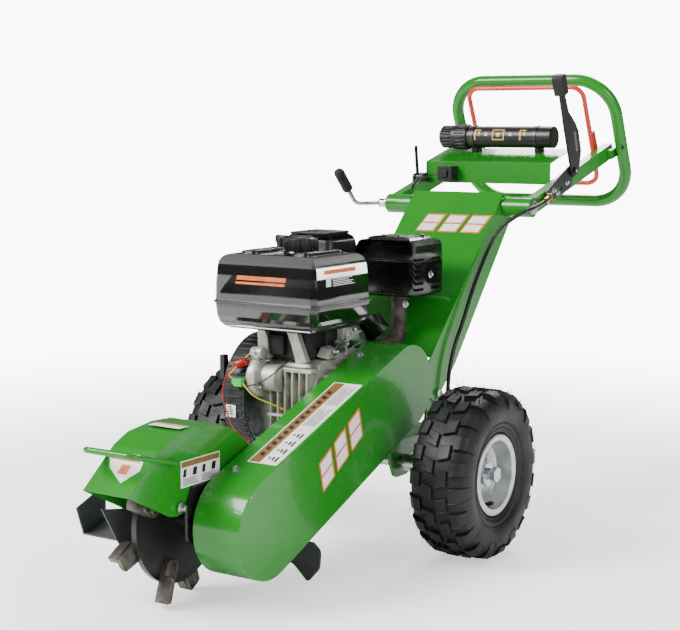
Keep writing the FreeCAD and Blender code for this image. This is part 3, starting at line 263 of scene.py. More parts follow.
# Black tyre rubber off a steel mould: matt, slightly grey where dust sits, with fine pores.
tyre_finish = material("moulded_tyre_rubber", "0e0e0f", patch=60, shades=("0a0a0b", "141415"), grain=2.2,
                       height=0.25, pores=5.0, sheen=(0.42, 0.62), Specular_IOR_Level=0.42)
tyre_radius = 0.1829
half_track = 0.301
tyre_steps = 96
hair_count = 300
# the carcass in section, from the middle of the tread round to the bead: (across, radius) in metres
section = [(0.000, 0.1765), (0.030, 0.1755), (0.050, 0.1715), (0.0615, 0.163), (0.0665, 0.149),
           (0.0672, 0.134), (0.0650, 0.120), (0.0620, 0.1145), (0.0628, 0.1125), (0.0600, 0.1105),
           (0.0585, 0.104), (0.0592, 0.102), (0.0566, 0.0995), (0.0545, 0.0925), (0.0500, 0.0895),
           (0.0470, 0.0905), (0.0480, 0.100), (0.056, 0.122), (0.0575, 0.148), (0.050, 0.160),
           (0.0, 0.1665)]


def on_tyre(middle, across, radius, turn):
    """A place on a wheel: metres across from its middle and out from its axle, and degrees round it."""
    return Vector((middle + across, axle_y + radius * math.sin(math.radians(turn)),
                   axle_z + radius * math.cos(math.radians(turn))))


def tread_block(shape, middle, outline, lean, start, length):
    """Add a tread block: a section (across, radius) swept round part of the tyre, leaning with its width."""
    low = [shape.verts.new(on_tyre(middle, x, r, start + lean * abs(x) / 0.06)) for x, r in outline]
    high = [shape.verts.new(on_tyre(middle, x, r, start + length + lean * abs(x) / 0.06))
            for x, r in outline]
    caps = [shape.faces.new(low), shape.faces.new(high)]
    made = bmesh.ops.bridge_loops(shape, edges=[e for cap in caps for e in cap.edges])
    soften(shape, caps + made["faces"], 0.0011, segments=1)


# the tread blocks in section: (across, radius) in metres
inner_block = [(0.004, 0.171), (0.004, tyre_radius), (0.029, 0.1824), (0.029, 0.170)]
outer_block = [(0.034, 0.168), (0.034, 0.1818), (0.049, 0.1805), (0.060, 0.1735), (0.0645, 0.166),
               (0.0676, 0.152), (0.0676, 0.143), (0.062, 0.143), (0.054, 0.163)]
draws = random.Random(7)
pitch = 18.0
for side, body, node in ((1, "right_wheel", "tyre_right"), (-1, "left_wheel", "tyre_left")):
    middle = side * half_track
    tyre = bmesh.new()
    for half in (1, -1):
        ring = [tyre.verts.new(on_tyre(middle, half * x, r, 0)) for x, r in section]
        lines = [tyre.edges.new(pair) for pair in zip(ring, ring[1:])]
        bmesh.ops.spin(tyre, geom=ring + lines, cent=(middle, axle_y, axle_z), axis=(1, 0, 0),
                       dvec=(0, 0, 0), angle=2 * math.pi, steps=tyre_steps, use_merge=True,
                       use_duplicate=False)
    bmesh.ops.remove_doubles(tyre, verts=tyre.verts, dist=1e-5)
    for half in (1, -1):
        for index in range(int(360 / pitch)):
            start = pitch * (index + (0.5 if half < 0 else 0))
            inner = [(half * x, r) for x, r in inner_block]
            tread_block(tyre, middle, inner, 6.0, start, pitch * 0.52)
            outer = [(half * x, r) for x, r in outer_block]
            if index % 2:
                outer = outer[:5] + [(half * 0.0668, 0.1585), (half * 0.060, 0.158), (half * 0.050, 0.166)]
            tread_block(tyre, middle, outer, 2.0, start + pitch * 0.42, pitch * 0.55)
    made = build(node + "_knobby", tyre, tyre_finish, body, crease=30)
    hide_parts(node)
    hairs = bmesh.new()
    for index in range(hair_count):
        turn = draws.uniform(-150, 150)
        across = draws.uniform(-0.058, 0.058)
        root = on_tyre(middle, across, tyre_radius - 0.003, turn)
        outward = on_tyre(middle, across + draws.uniform(-0.3, 0.3), tyre_radius + 1.0, turn) - root
        rod(hairs, root, root + outward * (0.0115 * draws.uniform(0.6, 1.3)), 0.0008, 0.0004, sides=3)
    build(node + "_hairs", hairs, tyre_finish, body)

# ---- Rims and hubs ------------------------------------------------------------------------------------
# Each rim is two pressed steel halves in silver paint, bolted to a welded hub by four plated bolts. A
# rubber valve stem with a cap stands in the dish.

# Silver wheel paint over steel: metallic flake under a thin clear coat.
rim_finish = material("silver_wheel_paint", "c4c6c8", patch=35, shades=("b4b7b9", "cfd1d2"), grain=1.4,
                      height=0.03, rounded=1.0, sheen=(0.26, 0.40), Metallic=0.75, Coat_Weight=0.4,
                      Coat_Roughness=0.15)
coat(rim_finish, "rim_right", "rim_left")

# Bright zinc plate: a slightly uneven grey-white metal, duller in its hollows.
zinc = material("bright_zinc_plate", "c9cbcd", patch=6, shades=("b2b5b8", "d6d8da"), grain=0.9,
                height=0.03, rounded=0.5, sheen=(0.20, 0.36), Metallic=1.0)
coat(zinc, "hub_right", "hub_left", "fasteners", "axle", "pivot_shaft")

# Soft black rubber for stems, boots and seals: matt and even.
rubber = material("soft_black_rubber", "151515", patch=20, shades=("101010", "1b1b1b"), grain=0.8,
                  height=0.06, sheen=(0.55, 0.72))
for side, body in ((1, "right_wheel"), (-1, "left_wheel")):
    stem = bmesh.new()
    rod(stem, mm(side * 318, 0, 112), mm(side * 330, 0, 116), 0.0055, 0.0045, soft=0.0008)
    rod(stem, mm(side * 329.5, 0, 116), mm(side * 343, 0, 120), 0.0035, sides=16, soft=0.0005)
    rod(stem, mm(side * 336, 0, 118), mm(side * 347, 0, 121.5), 0.0048, 0.0042, sides=12, soft=0.0006)
    build("valve_right" if side > 0 else "valve_left", stem, rubber, body)

# ---- Deck and column ----------------------------------------------------------------------------------
# The deck and the tall column are folded from steel sheet, welded at the seams and powder-coated a
# bright gloss green. Welds are left as raised beads under the paint.

# Gloss green powder coat: strong colour, a clear glassy skin and a very slight orange peel.
green = material("gloss_green_powder_coat", "1c7a1a", patch=240, shades=("1a7718", "207f1d"), grain=6.0,
                 height=0.035, rounded=1.3, sheen=(0.22, 0.30), Coat_Weight=0.35, Coat_Roughness=0.06,
                 Specular_IOR_Level=0.3)
coat(green, "deck", "column", "arm_left", "arm_right", "handle_loop", "tray", "hood", "lift_handle",
     "belt_guard", "guard_plate")

column_slope = math.radians(45.8)
column_rise = 28.6
pivot_y, pivot_z = 473, 729


def on_column(along, across, rise):
    """A place on the column's front sheet: millimetres down from the pivot, across, and out of the sheet."""
    reach = column_rise + rise
    return mm(across, pivot_y - along * math.cos(column_slope) - reach * math.sin(column_slope),
              pivot_z - along * math.sin(column_slope) + reach * math.cos(column_slope))


def bead(shape, start, end, radius):
    """Add a weld bead: a row of overlapping flattened drops along a seam."""
    run = Vector(end) - Vector(start)
    count = max(2, int(run.length / (radius * 0.9)))
    for step in range(count):
        middle = Vector(start) + run * ((step + 0.5) / count)
        bmesh.ops.create_icosphere(shape, subdivisions=2, radius=radius, matrix=Matrix.Translation(middle))


welds = bmesh.new()
deck_z = 236
for side in (-1, 1):
    bead(welds, mm(side * 124.5, 60, deck_z), mm(side * 124.5, 180, deck_z), 0.0028)
    bead(welds, mm(side * 129, 450, 747), mm(side * 129, 472, 754), 0.0026)
build("column_welds", welds, green, "chassis")

# ---- Stickers -----------------------------------------------------------------------------------------
# Screen-printed vinyl, about a third of a millimetre thick, pressed on after painting. All of them are
# plain shapes with no lettering: bars, bands and stripes.


def vinyl(name, colour, shade):
    """Printed vinyl: satin, with faint unevenness in the ink."""
    return material(name, colour, patch=18, shades=(colour, shade), grain=3.0, height=0.01,
                    sheen=(0.30, 0.42), Coat_Weight=0.25, Coat_Roughness=0.2)


white_vinyl = vinyl("white_vinyl", "ececea", "f6f6f4")
brown_vinyl = vinyl("brown_vinyl", "7a5a30", "8a683a")
black_print = vinyl("black_print", "161616", "222222")
orange_vinyl = vinyl("orange_vinyl", "d2602a", "e0703a")


def sticker(name, corner, right, up, shapes, finish, body="chassis", depth=0.3, lift=0.0):
    """Flat shapes given in millimetres (u, v) from a corner, along right and up, as thin vinyl."""
    right, up = Vector(right).normalized(), Vector(up).normalized()
    out = right.cross(up).normalized()
    made = bmesh.new()
    for points in shapes:
        flat = [Vector(corner) + (right * u + up * v + out * lift) / 1000 for u, v in points]
        plate(made, flat, out * (depth / 1000))
    return build(name, made, finish, body)


def bar(u, v, width, height, lean=0.0):
    """A four-cornered patch, leaning to the right by lean at its top."""
    return [(u, v), (u + width, v), (u + width + lean, v + height), (u + lean, v + height)]


def fine_print(u, v, width, rows, pitch, height=1.1):
    """Rows of thin bars of uneven length, where small print would stand."""
    lengths = (1.0, 0.86, 0.94, 0.72, 0.9, 0.8)
    return [bar(u, v + row * pitch, width * lengths[row % len(lengths)], height) for row in range(rows)]


# three leaning patches with an edge line, in two rows; the guard carries the same mark
column_corner = on_column(112, -70, 0.2)
column_right = Vector((1, 0, 0))
column_up = Vector((0, math.cos(column_slope), math.sin(column_slope)))
sticker("column_mark_edge", column_corner, column_right, column_up,
        [bar(62 * i, 0, 52, 58, 16) for i in range(3)], orange_vinyl)
sticker("column_mark", column_corner, column_right, column_up,
        [bar(4 + 62 * i, 4, 44, 22, 6) for i in range(3)]
        + [bar(11 + 62 * i, 31, 44, 22, 6) for i in range(3)],
        white_vinyl, lift=0.3)

# ---- Cutter -------------------------------------------------------------------------------------------
# A thick steel disc on a shaft in two flanged bearings. Eight forged teeth are bolted to it in turn on
# one side and the other, each by two socket bolts, and their edges are ground bright by use.

# Black enamel on machined and cut steel: satin, dusty, with edges rubbed a little brighter.
black_enamel = material("satin_black_enamel", "141414", patch=45, shades=("0f0f10", "1c1c1c"), grain=2.5,
                        height=0.05, rounded=0.9, sheen=(0.32, 0.48), Coat_Weight=0.3, Coat_Roughness=0.25)
coat(black_enamel, "cutter_disc", "bearing_mounts", "cutter_shaft", "rubber_flap", "brake_bracket",
     "canister_clamps", "driven_pulley", "clutch_drum", "throttle_base")

# Forged tool steel: brown-grey scale with brighter, scratched high spots.
tooth_finish = material("forged_tool_steel", "6f6860", patch=22, shades=("57524b", "7b766e"), detail=4.0,
                        grain=1.6, height=0.12, pores=4.0, rounded=1.2, sheen=(0.34, 0.52), Metallic=0.8)

cutter_x, cutter_y, cutter_z = -45, -583, 163
disc_half = 6.1
tooth_count = 8
tip_radius = 170.2
sockets = bmesh.new()
teeth = bmesh.new()
for index in range(tooth_count):
    turn = math.radians(360 / tooth_count * (index + 0.5))
    side = 1 if index % 2 else -1
    face_x = cutter_x + side * disc_half

    def on_tooth(x, radial, across):
        """A place on this tooth: millimetres out from the disc's face, from the shaft, and across."""
        return mm(face_x + side * x, cutter_y + radial * math.sin(turn) + across * math.cos(turn),
                  cutter_z - radial * math.cos(turn) + across * math.sin(turn))

    end = math.sqrt(tip_radius ** 2 - 17 ** 2)
    shank = [(82, -9), (82, 9), (92, 17), (130, 17), (end - 6, 14), (end - 2, 4), (end, -17), (120, -20),
             (92, -17)]
    blade = [(116, -21), (122, -9), (end - 4, -5), (end, -17), (138, -22)]
    for outline, low, high in ((shank, 0.0, 12.0), (blade, 10.0, 33.0)):
        flat = [on_tooth(low, *place) for place in outline]
        top = plate(teeth, flat, Vector((side * (high - low) / 1000, 0, 0)))[1]
        soften(teeth, top, 0.0022)
    for radial in (97, 120):
        rod(teeth, on_tooth(11, radial, 2), on_tooth(15, radial, 2), 0.0095, 0.0085, sides=28, soft=0.0008)
        rod(sockets, on_tooth(15, radial, 2), on_tooth(15.8, radial, 2), 0.0062, sides=28)
        rod(sockets, on_tooth(15.2, radial, 2), on_tooth(16.4, radial, 2), 0.0040, sides=6)
forged_teeth = build("forged_teeth", teeth, tooth_finish, "cutter")
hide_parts("cutter_teeth")
build("tooth_sockets", sockets, black_enamel, "cutter")

# ---- Hood, lifting bar and chute ----------------------------------------------------------------------
# The hood is folded from green sheet over the front of the cutter and is held by five hex bolts. A
# bent green bar lifts the nose, and a dark grey chute throws chips to the left.


def bolt(shape, seat, axis, across=0.010, height=0.006, washer=0.0085):
    """Add a hex head with its washer and a domed top, standing on seat along axis; sizes in metres."""
    seat, axis = Vector(seat), Vector(axis).normalized()
    if washer:
        rod(shape, seat, seat + axis * 0.0016, washer, sides=28, soft=0.0004)
    low = seat + axis * (0.0015 if washer else 0.0)
    rod(shape, low, low + axis * height, across / 2 * 1.155, across / 2 * 1.10, sides=6)
    rod(shape, low + axis * (height - 0.0004), low + axis * (height + 0.0012), across / 2 * 0.86,
        across / 2 * 0.5, sides=24)


hood_bolts = bmesh.new()
for place, axis in (((24, -654.5, 206), (1, 0, 0)), ((24, -520, 214), (1, 0, 0)),
                    ((-96, -654.5, 206), (-1, 0, 0)), ((-96, -520, 214), (-1, 0, 0)),
                    ((8, -640, 235), (1, 0, 0))):
    bolt(hood_bolts, mm(*place), axis, 0.013, 0.009, 0.012)
build("hood_bolts", hood_bolts, zinc, "chassis")

# Dark grey powder coat: a satin finish, slightly scuffed where chips run.
chute_grey = material("dark_grey_powder_coat", "3b3d41", patch=70, shades=("323438", "4a4c50"), grain=3.0,
                      height=0.05, rounded=1.0, sheen=(0.35, 0.5), Coat_Weight=0.2)
coat(chute_grey, "deflector")

panel_slope = math.atan2(69, 85)
panel_right = Vector((1, 0, 0))
panel_up = Vector((0, math.cos(panel_slope), math.sin(panel_slope)))
panel_corner = mm(-75, -777, 254 + 23 * math.tan(panel_slope)) + panel_right.cross(panel_up) * 0.0003
panel_sign = [(56, 0), (81, 33), (73, 66), (-12, 64), (9, 31)]
sticker("hood_sign", panel_corner, panel_right, panel_up, [panel_sign], white_vinyl)
sticker("hood_sign_band", panel_corner, panel_right, panel_up, [bar(-2, 51, 70, 9), bar(34, 20, 22, 22)],
        orange_vinyl, lift=0.3)
side_right, side_up = Vector((0, 1, 0)), Vector((0, 0, 1))
side_corner = mm(20.2, -651, 242)
sticker("hood_side_label", side_corner, side_right, side_up, [bar(0, 0, 120, 52)], white_vinyl)
sticker("hood_side_band", side_corner, side_right, side_up, [bar(2, 39, 116, 11)], brown_vinyl, lift=0.3)
sticker("hood_side_print", side_corner, side_right, side_up,
        [bar(6 + 29 * i, 20, 9 + 3 * (i % 2), 15, 3) for i in range(4)] + fine_print(6, 4, 48, 5, 2.8)
        + fine_print(64, 4, 46, 5, 2.8), black_print, lift=0.3)
sticker("hood_top_label", mm(-72, -636, 353.2), (1, 0, 0), (0, 1, 0), [bar(0, 0, 78, 30)], white_vinyl)
sticker("hood_top_band", mm(-72, -636, 353.2), (1, 0, 0), (0, 1, 0), [bar(2, 20, 74, 8)], orange_vinyl,
        lift=0.3)

# ---- Belt guard ---------------------------------------------------------------------------------------
# A deep green cover with rounded ends hides the belt. Its face is welded to the rim band all round and
# two small bolts hold it to the back plate. A long warning strip runs down the band.

band_slope = math.radians(19.87)
band_right = Vector((0, -math.cos(band_slope), -math.sin(band_slope)))
band_low = Vector((0.0, *mm(0, -572.3, 252.0)[1:]))


def on_band(along, across, rise=0.3):
    """A place on the guard's sloping band: millimetres back from its lower end, in x, and out."""
    normal = Vector((0, -math.sin(band_slope), math.cos(band_slope)))
    return band_low + (Vector((across, 0, 0)) - band_right * along + normal * rise) / 1000


strip_corner = on_band(66, 142)
strip_right, strip_up = -band_right, Vector((-1, 0, 0))
sticker("guard_strip", strip_corner, strip_right, strip_up, [bar(0, 0, 330, 70)], white_vinyl)
sticker("guard_strip_band", strip_corner, strip_right, strip_up, [bar(3, 42, 324, 25)], brown_vinyl,
        lift=0.3)
warning_blocks = [bar(26 + 21 * i, 49, 11, 11, 3) for i in range(13)]
sticker("guard_strip_blocks", strip_corner, strip_right, strip_up, warning_blocks, black_print, lift=0.6)
signs = [bar(10 + 30 * i + 4 * j, 10 + 9 * j, 18 - 6 * j, 5, 3) for i in range(4) for j in range(3)]
sticker("guard_strip_print", strip_corner, strip_right, strip_up,
        signs + fine_print(150, 8, 78, 9, 3.4) + fine_print(238, 8, 84, 9, 3.4), black_print, lift=0.3)
mark_corner = mm(147.2, -356, 190)
mark_lean = 0.55
mark_right = Vector((0, math.cos(mark_lean), math.sin(mark_lean)))
mark_up = Vector((0, -math.sin(mark_lean), math.cos(mark_lean)))
sticker("guard_mark_edge", mark_corner, mark_right, mark_up, [bar(62 * i, 0, 52, 62, 20) for i in range(3)],
        orange_vinyl)
sticker("guard_mark", mark_corner, mark_right, mark_up,
        [bar(5 + 62 * i, 4, 42, 24, 8) for i in range(3)]
        + [bar(15 + 62 * i, 33, 42, 24, 8) for i in range(3)],
        white_vinyl, lift=0.3)
guard_bolts = bmesh.new()
band_out = Vector((0, -math.sin(band_slope), math.cos(band_slope)))
bolt(guard_bolts, on_band(33, 68, 0), band_out, 0.010, 0.006, 0.009)
bolt(guard_bolts, on_band(520, 60, 0), band_out, 0.010, 0.006, 0.009)
bolt(guard_bolts, mm(147, -600, 232), (1, 0, 0), 0.005, 0.0015, 0)
build("guard_bolts", guard_bolts, zinc, "chassis")

# ---- Engine castings ----------------------------------------------------------------------------------
# A single-cylinder engine: a ribbed die-cast crankcase with a round side cover, a slanted finned
# cylinder under a bright pressed shroud, and cast lugs that carry the tank.

# As-cast aluminium: a grey satin metal with a pebbly skin and darker hollows.
casting = material("cast_aluminium", "a8a59d", patch=28, shades=("a09d95", "cbc8c0"), detail=4.0,
                   grain=1.3, height=0.09, pores=4.0, rounded=1.6, sheen=(0.42, 0.58), Metallic=0.6)
coat(casting, "crankcase", "carburettor")

# Galvanised pressed sheet: bright, with soft spangle.
galvanised = material("galvanised_sheet", "c7ccd2", patch=14, shades=("b4bac1", "d6dadf"), grain=4.0,
                      height=0.03, rounded=1.2, sheen=(0.18, 0.30), Metallic=1.0)
coat(galvanised, "cylinder_shroud", "crankshaft")

# Black heat-proof paint on a casting: matt with a coarse grain.
black_cast = material("black_painted_casting", "18181a", patch=20, shades=("121213", "232325"), grain=1.2,
                      height=0.08, pores=4.0, rounded=0.8, sheen=(0.45, 0.6), Metallic=0.2)
coat(black_cast, "cylinder", "fan_housing")

slant = math.radians(25)
crank_y, crank_z = -120, 335


def on_cylinder(x, distance, rise):
    """A place by the slanted cylinder: millimetres in x, along its bore from the crank, and across it."""
    return mm(x, crank_y + distance * math.cos(slant) - rise * math.sin(slant),
              crank_z + distance * math.sin(slant) + rise * math.cos(slant))


def slab(shape, low, high, soft=0.001, place=None):
    """Add a rounded block between two corners; place turns a corner into a place in the frame."""
    made = bmesh.ops.create_cube(shape, size=1.0)
    for vert in made["verts"]:
        vert.co = (place or mm)(*(lo + (hi - lo) * (c + 0.5) for c, lo, hi in zip(vert.co, low, high)))
    if soft:
        soften(shape, made["verts"], soft)


fins = bmesh.new()
for index in range(15):
    distance = 78 + 9.2 * index
    slab(fins, (-119, distance, -47), (5, distance + 2.6, 47), 0.0008, on_cylinder)
build("cylinder_fins", fins, black_cast, "chassis")
case_ribs = bmesh.new()
for index in range(7):
    turn = math.radians(200 - 36 * index)
    y, z = crank_y + 66 * math.cos(turn), crank_z + 66 * math.sin(turn)
    rod(case_ribs, mm(18, y, z), mm(33, y, z), 0.007, 0.006, soft=0.001)
for index in range(6):
    x = -92 + 19 * index
    slab(case_ribs, (x, crank_y - 88, 262), (x + 4, crank_y - 60, 400), 0.0012)
slab(case_ribs, (-96, crank_y - 92, 300), (16, crank_y - 66, 306), 0.0015)
slab(case_ribs, (-96, crank_y - 86, 398), (16, crank_y - 60, 408), 0.003)
build("crankcase_ribs", case_ribs, casting, "chassis")
case_bolts = bmesh.new()
for index in range(7):
    turn = math.radians(200 - 36 * index)
    bolt(case_bolts, mm(33, crank_y + 66 * math.cos(turn), crank_z + 66 * math.sin(turn)), (1, 0, 0),
         0.008, 0.005, 0.0065)
for place, axis in (((-30, -196, 462), (0, -1, 0)), ((-112, -196, 462), (0, -1, 0)),
                    ((26, -88, 452), (1, 0, 0)), ((26, -128, 440), (1, 0, 0)), ((14, -40, 478), (1, 0, 0)),
                    ((-60, -194, 392), (0, -1, 0))):
    bolt(case_bolts, mm(*place), axis, 0.010, 0.007, 0.009)
build("engine_bolts", case_bolts, zinc, "chassis")
lugs = bmesh.new()


def casting_plate(shape, outline, y, thick):
    """Add a flat cast web: an outline in (x, z) millimetres, thick along y."""
    moved = plate(shape, [mm(x, y, z) for x, z in outline], (0, thick / 1000, 0))[0]
    soften(shape, moved, 0.0025)


casting_plate(lugs, [(-122, 424), (-96, 424), (-98, 470), (-112, 500), (-126, 500)], -206, 22)
casting_plate(lugs, [(-52, 500), (-24, 500), (-6, 452), (6, 424), (-22, 420), (-34, 460)], -208, 16)
casting_plate(lugs, [(-8, 428), (24, 424), (24, 446), (4, 452)], -150, 34)
casting_plate(lugs, [(4, 440), (18, 440), (26, 500), (12, 500)], -92, 26)
casting_plate(lugs, [(-20, 416), (20, 416), (20, 432), (-20, 436)], -110, 90)
build("tank_lugs", lugs, casting, "chassis")
# the black blower duct under the tank, pressed from sheet, with a glossy black shield at its rear
duct = bmesh.new()
slab(duct, (-118, -188, 420), (-8, -60, 492), 0.010)
slab(duct, (-104, -200, 432), (-60, -180, 478), 0.006)
slab(duct, (-16, -130, 440), (6, -84, 484), 0.006)
build("blower_duct", duct, black_cast, "chassis")
shield = bmesh.new()
plate(shield, [mm(14, -30, 500), mm(44, 20, 510), mm(46, 66, 474), mm(20, 30, 440)], (-0.0015, 0, -0.001))
housing_ribs = bmesh.new()
for index in range(24):
    turn = math.radians(100 + 7 * index)
    y, z = crank_y + 132.5 * math.cos(turn), crank_z + 132.5 * math.sin(turn)
    if z > 240:
        rod(housing_ribs, mm(-184, y, z), mm(-134, y, z), 0.0032, sides=10, soft=0.0008)
build("fan_housing_ribs", housing_ribs, black_cast, "chassis")
linkage = bmesh.new()
rod(linkage, mm(24, -132, 446), mm(24, -56, 470), 0.0016)
rod(linkage, mm(30, -92, 430), mm(30, -84, 486), 0.0018)
rod(linkage, mm(28, -92, 434), mm(28, -20, 452), 0.0012)
for index in range(12):
    rod(linkage, mm(27, -128 + 4.0 * index, 462 - 1.2 * index),
        mm(27, -126 + 4.0 * index, 461.4 - 1.2 * index), 0.004, sides=16)
build("governor_linkage", linkage, zinc, "chassis")

# ---- Fuel tank, filter and muffler --------------------------------------------------------------------
# The tank is two steel pressings in gloss black, crimped at a flange. Its screw cap, the ribbed filter
# cover with a wing knob and the boxed muffler with its slotted side stand on top of the engine.

# Gloss black stove enamel: deep black under a clear skin, with soft rounded pressings.
gloss_black = material("gloss_black_enamel", "060607", patch=120, shades=("050506", "0a0a0b"), grain=9.0,
                       height=0.03, rounded=5.0, sheen=(0.16, 0.24), Coat_Weight=1.0, Coat_Roughness=0.04)


def pressing(shape, low, high, corner, levels):
    """Add a pressed shell with round corners; levels are (height, inset) in millimetres, bottom first."""
    middle = Vector(((low[0] + high[0]) / 2, (low[1] + high[1]) / 2))
    half = Vector(((high[0] - low[0]) / 2, (high[1] - low[1]) / 2))

    def ring(height, inset):
        """The places round one level."""
        radius = max(corner - inset * 0.4, 2.0)
        places = []
        for quarter in range(4):
            sign_x, sign_y = ((1, 1), (-1, 1), (-1, -1), (1, -1))[quarter]
            for step in range(9):
                turn = math.radians(90 * quarter + 90 * step / 8)
                places.append(mm(middle.x + sign_x * (half.x - inset - radius) + radius * math.cos(turn),
                                 middle.y + sign_y * (half.y - inset - radius) + radius * math.sin(turn),
                                 height))
        return places

    top = shape.faces.new([shape.verts.new(place) for place in ring(*levels[0])])
    for level in levels[1:]:
        raised = bmesh.ops.extrude_face_region(shape, geom=[top], use_keep_orig=level is levels[1])
        top = [g for g in raised["geom"] if isinstance(g, bmesh.types.BMFace)][0]
        places = ring(*level)
        for vert in top.verts:
            vert.co = min(places, key=lambda place: (place.xy - vert.co.xy).length)


build("heat_shield", shield, gloss_black, "chassis")
tank = bmesh.new()
pressing(tank, (-208, -268), (70, -38), 15,
         [(489, 44), (490, 32), (495, 20), (504, 11), (518, 6), (546, 3), (547, 0), (551, 0), (552, 5),
          (590, 6), (624, 9), (636, 12), (644, 17), (649, 24), (651.5, 34), (652, 44)])
for low, high in (((-160, -226), (-113, -84)), ((-25, -226), (22, -84))):
    pressing(tank, low, high, 14, [(650, 0), (655, 1), (657.5, 3), (658.5, 7)])
rod(tank, mm(-69, -118, 650), mm(-69, -118, 655), 0.042, 0.040, sides=64, soft=0.0015)
fuel_tank = build("fuel_tank_pressing", tank, gloss_black, "chassis", crease=40)
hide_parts("fuel_tank")

# Moulded black plastic: satin, with the fine leather-like grain of the mould.
plastic = material("moulded_black_plastic", "111112", patch=50, shades=("0e0e0f", "171718"), grain=1.1,
                   height=0.05, rounded=2.2, sheen=(0.32, 0.42))
coat(plastic, "fuel_cap", "recoil_cover", "recoil_handle", "canister_cap", "switch_box",
     "drive_belt", "throttle_lever")

# Satin black heat paint on the muffler's pressed box.
heat_black = material("satin_black_heat_paint", "0c0c0d", patch=60, shades=("090909", "121213"), grain=3.0,
                      height=0.03, rounded=4.0, sheen=(0.24, 0.34), Coat_Weight=0.5, Coat_Roughness=0.18)
muffler = bmesh.new()
pressing(muffler, (-66, 88), (94, 232), 13,
         [(538, 12), (540, 5), (545, 1), (618, 0), (620, 0.5), (621, 3), (623, 3), (624, 0), (655, 2),
          (663, 6), (666, 12), (667, 22), (671, 25), (673, 28), (674, 34)])
muffler_box = build("muffler_box", muffler, heat_black, "chassis", crease=40)
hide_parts("muffler")

# Sand-cast iron, heat-stained brown and grey.
iron = material("heat_stained_cast_iron", "463e37", patch=14, shades=("39322c", "5a5148"), detail=5.0,
                grain=1.5, height=0.14, pores=4.0, sheen=(0.55, 0.7), Metallic=0.45)
coat(iron, "exhaust_elbow")

cap_y, cap_x = -118, -69
cap_ribs = bmesh.new()
for index in range(22):
    turn = math.radians(360 / 22 * index)
    x, y = cap_x + 35.0 * math.cos(turn), cap_y + 35.0 * math.sin(turn)
    rod(cap_ribs, mm(x, y, 656), mm(x, y, 677), 0.0032, 0.0026, sides=12, soft=0.0006)
rod(cap_ribs, mm(cap_x, cap_y, 679.5), mm(cap_x, cap_y, 683), 0.030, 0.027, sides=48, soft=0.001)
slab(cap_ribs, (cap_x - 24, cap_y - 4, 682), (cap_x + 24, cap_y + 4, 687), 0.0015)
build("fuel_cap_ribs", cap_ribs, plastic, "filler_cap")
tank_corner = mm(64.7, -224, 586)
tank_rise = (-0.088, 0, 1)
sticker("tank_label_band", tank_corner, (0, 1, 0), tank_rise, [bar(0, 30, 122, 9)], orange_vinyl)
sticker("tank_label_print", tank_corner, (0, 1, 0), tank_rise,
        fine_print(30, 4, 84, 7, 3.6, 1.3) + [bar(4, 4, 18, 20, 2)], white_vinyl)
sticker("tank_front_stripe", mm(-141, -262.4, 590), (1, 0, 0), (0, 0.088, 1),
        [bar(0, 0, 128, 5, 1), bar(2, 9, 128, 9, 2)], orange_vinyl)
air_filter = bmesh.new()
pressing(air_filter, (-214, 0), (-70, 128), 20,
         [(586, 2), (588, 0), (640, 1), (664, 5), (673, 10), (678, 18), (680, 26), (680.5, 32)])
filter_box = build("air_filter_box", air_filter, plastic, "chassis", crease=40)
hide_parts("air_filter_cover")
filter_ribs = bmesh.new()
for index in range(9):
    low = 12 + 12 * index
    slab(filter_ribs, (-190, low, 678), (-94, low + 6, 684), 0.0015)
rod(filter_ribs, mm(-190, -22, 640), mm(-190, -22, 672), 0.011, 0.012, sides=32, soft=0.002)
slab(filter_ribs, (-206, -27, 660), (-174, -17, 678), 0.003)
slab(filter_ribs, (-206, -30, 600), (-150, 2, 640), 0.005)
build("filter_ribs", filter_ribs, plastic, "chassis")
# Painted shade: a fully matt black for the strips and disc that stand for the shade in the slots.
slot_shade = material("painted_slot_shade", "030303", patch=8, shades=("020202", "060606"), grain=1.5, height=0.05,
                      sheen=(0.8, 0.95), Specular_IOR_Level=0.1)
# the shade inside the muffler's slots and the bolt's round recess, painted as thin black strips and a disc
slot_shade_strips = bmesh.new()
for column_y in (96, 172):
    for index in range(6):
        low = 553 + 13.5 * index
        slab(slot_shade_strips, (93.4, column_y, low), (94.3, column_y + 38 - 8 * (index in (2, 3)), low + 5.5),
             0.0008)
rod(slot_shade_strips, mm(84, 163, 588), mm(94.8, 163, 588), 0.0225, 0.0205, sides=48, soft=0.001)
build("muffler_slot_shade", slot_shade_strips, slot_shade, "chassis")
muffler_bolt = bmesh.new()
bolt(muffler_bolt, mm(94.7, 163, 588), (1, 0, 0), 0.009, 0.005, 0.009)
bolt(muffler_bolt, mm(51, 126, 520), (1, -0.4, 0), 0.009, 0.006, 0.008)
build("muffler_bolts", muffler_bolt, zinc, "chassis")
muffler_top = bmesh.new()
for place in ((-10, 130), (30, 130), (60, 180)):
    rod(muffler_top, mm(*place, 673), mm(*place, 677), 0.009, 0.007, sides=24, soft=0.0008)
build("muffler_top", muffler_top, heat_black, "chassis")

# ---- Starter and wiring -------------------------------------------------------------------------------
# The electric starter lies across the front of the crankcase. A red boot covers its live terminal and
# four thin wires run down to a green connector and to the switch on the fan housing.


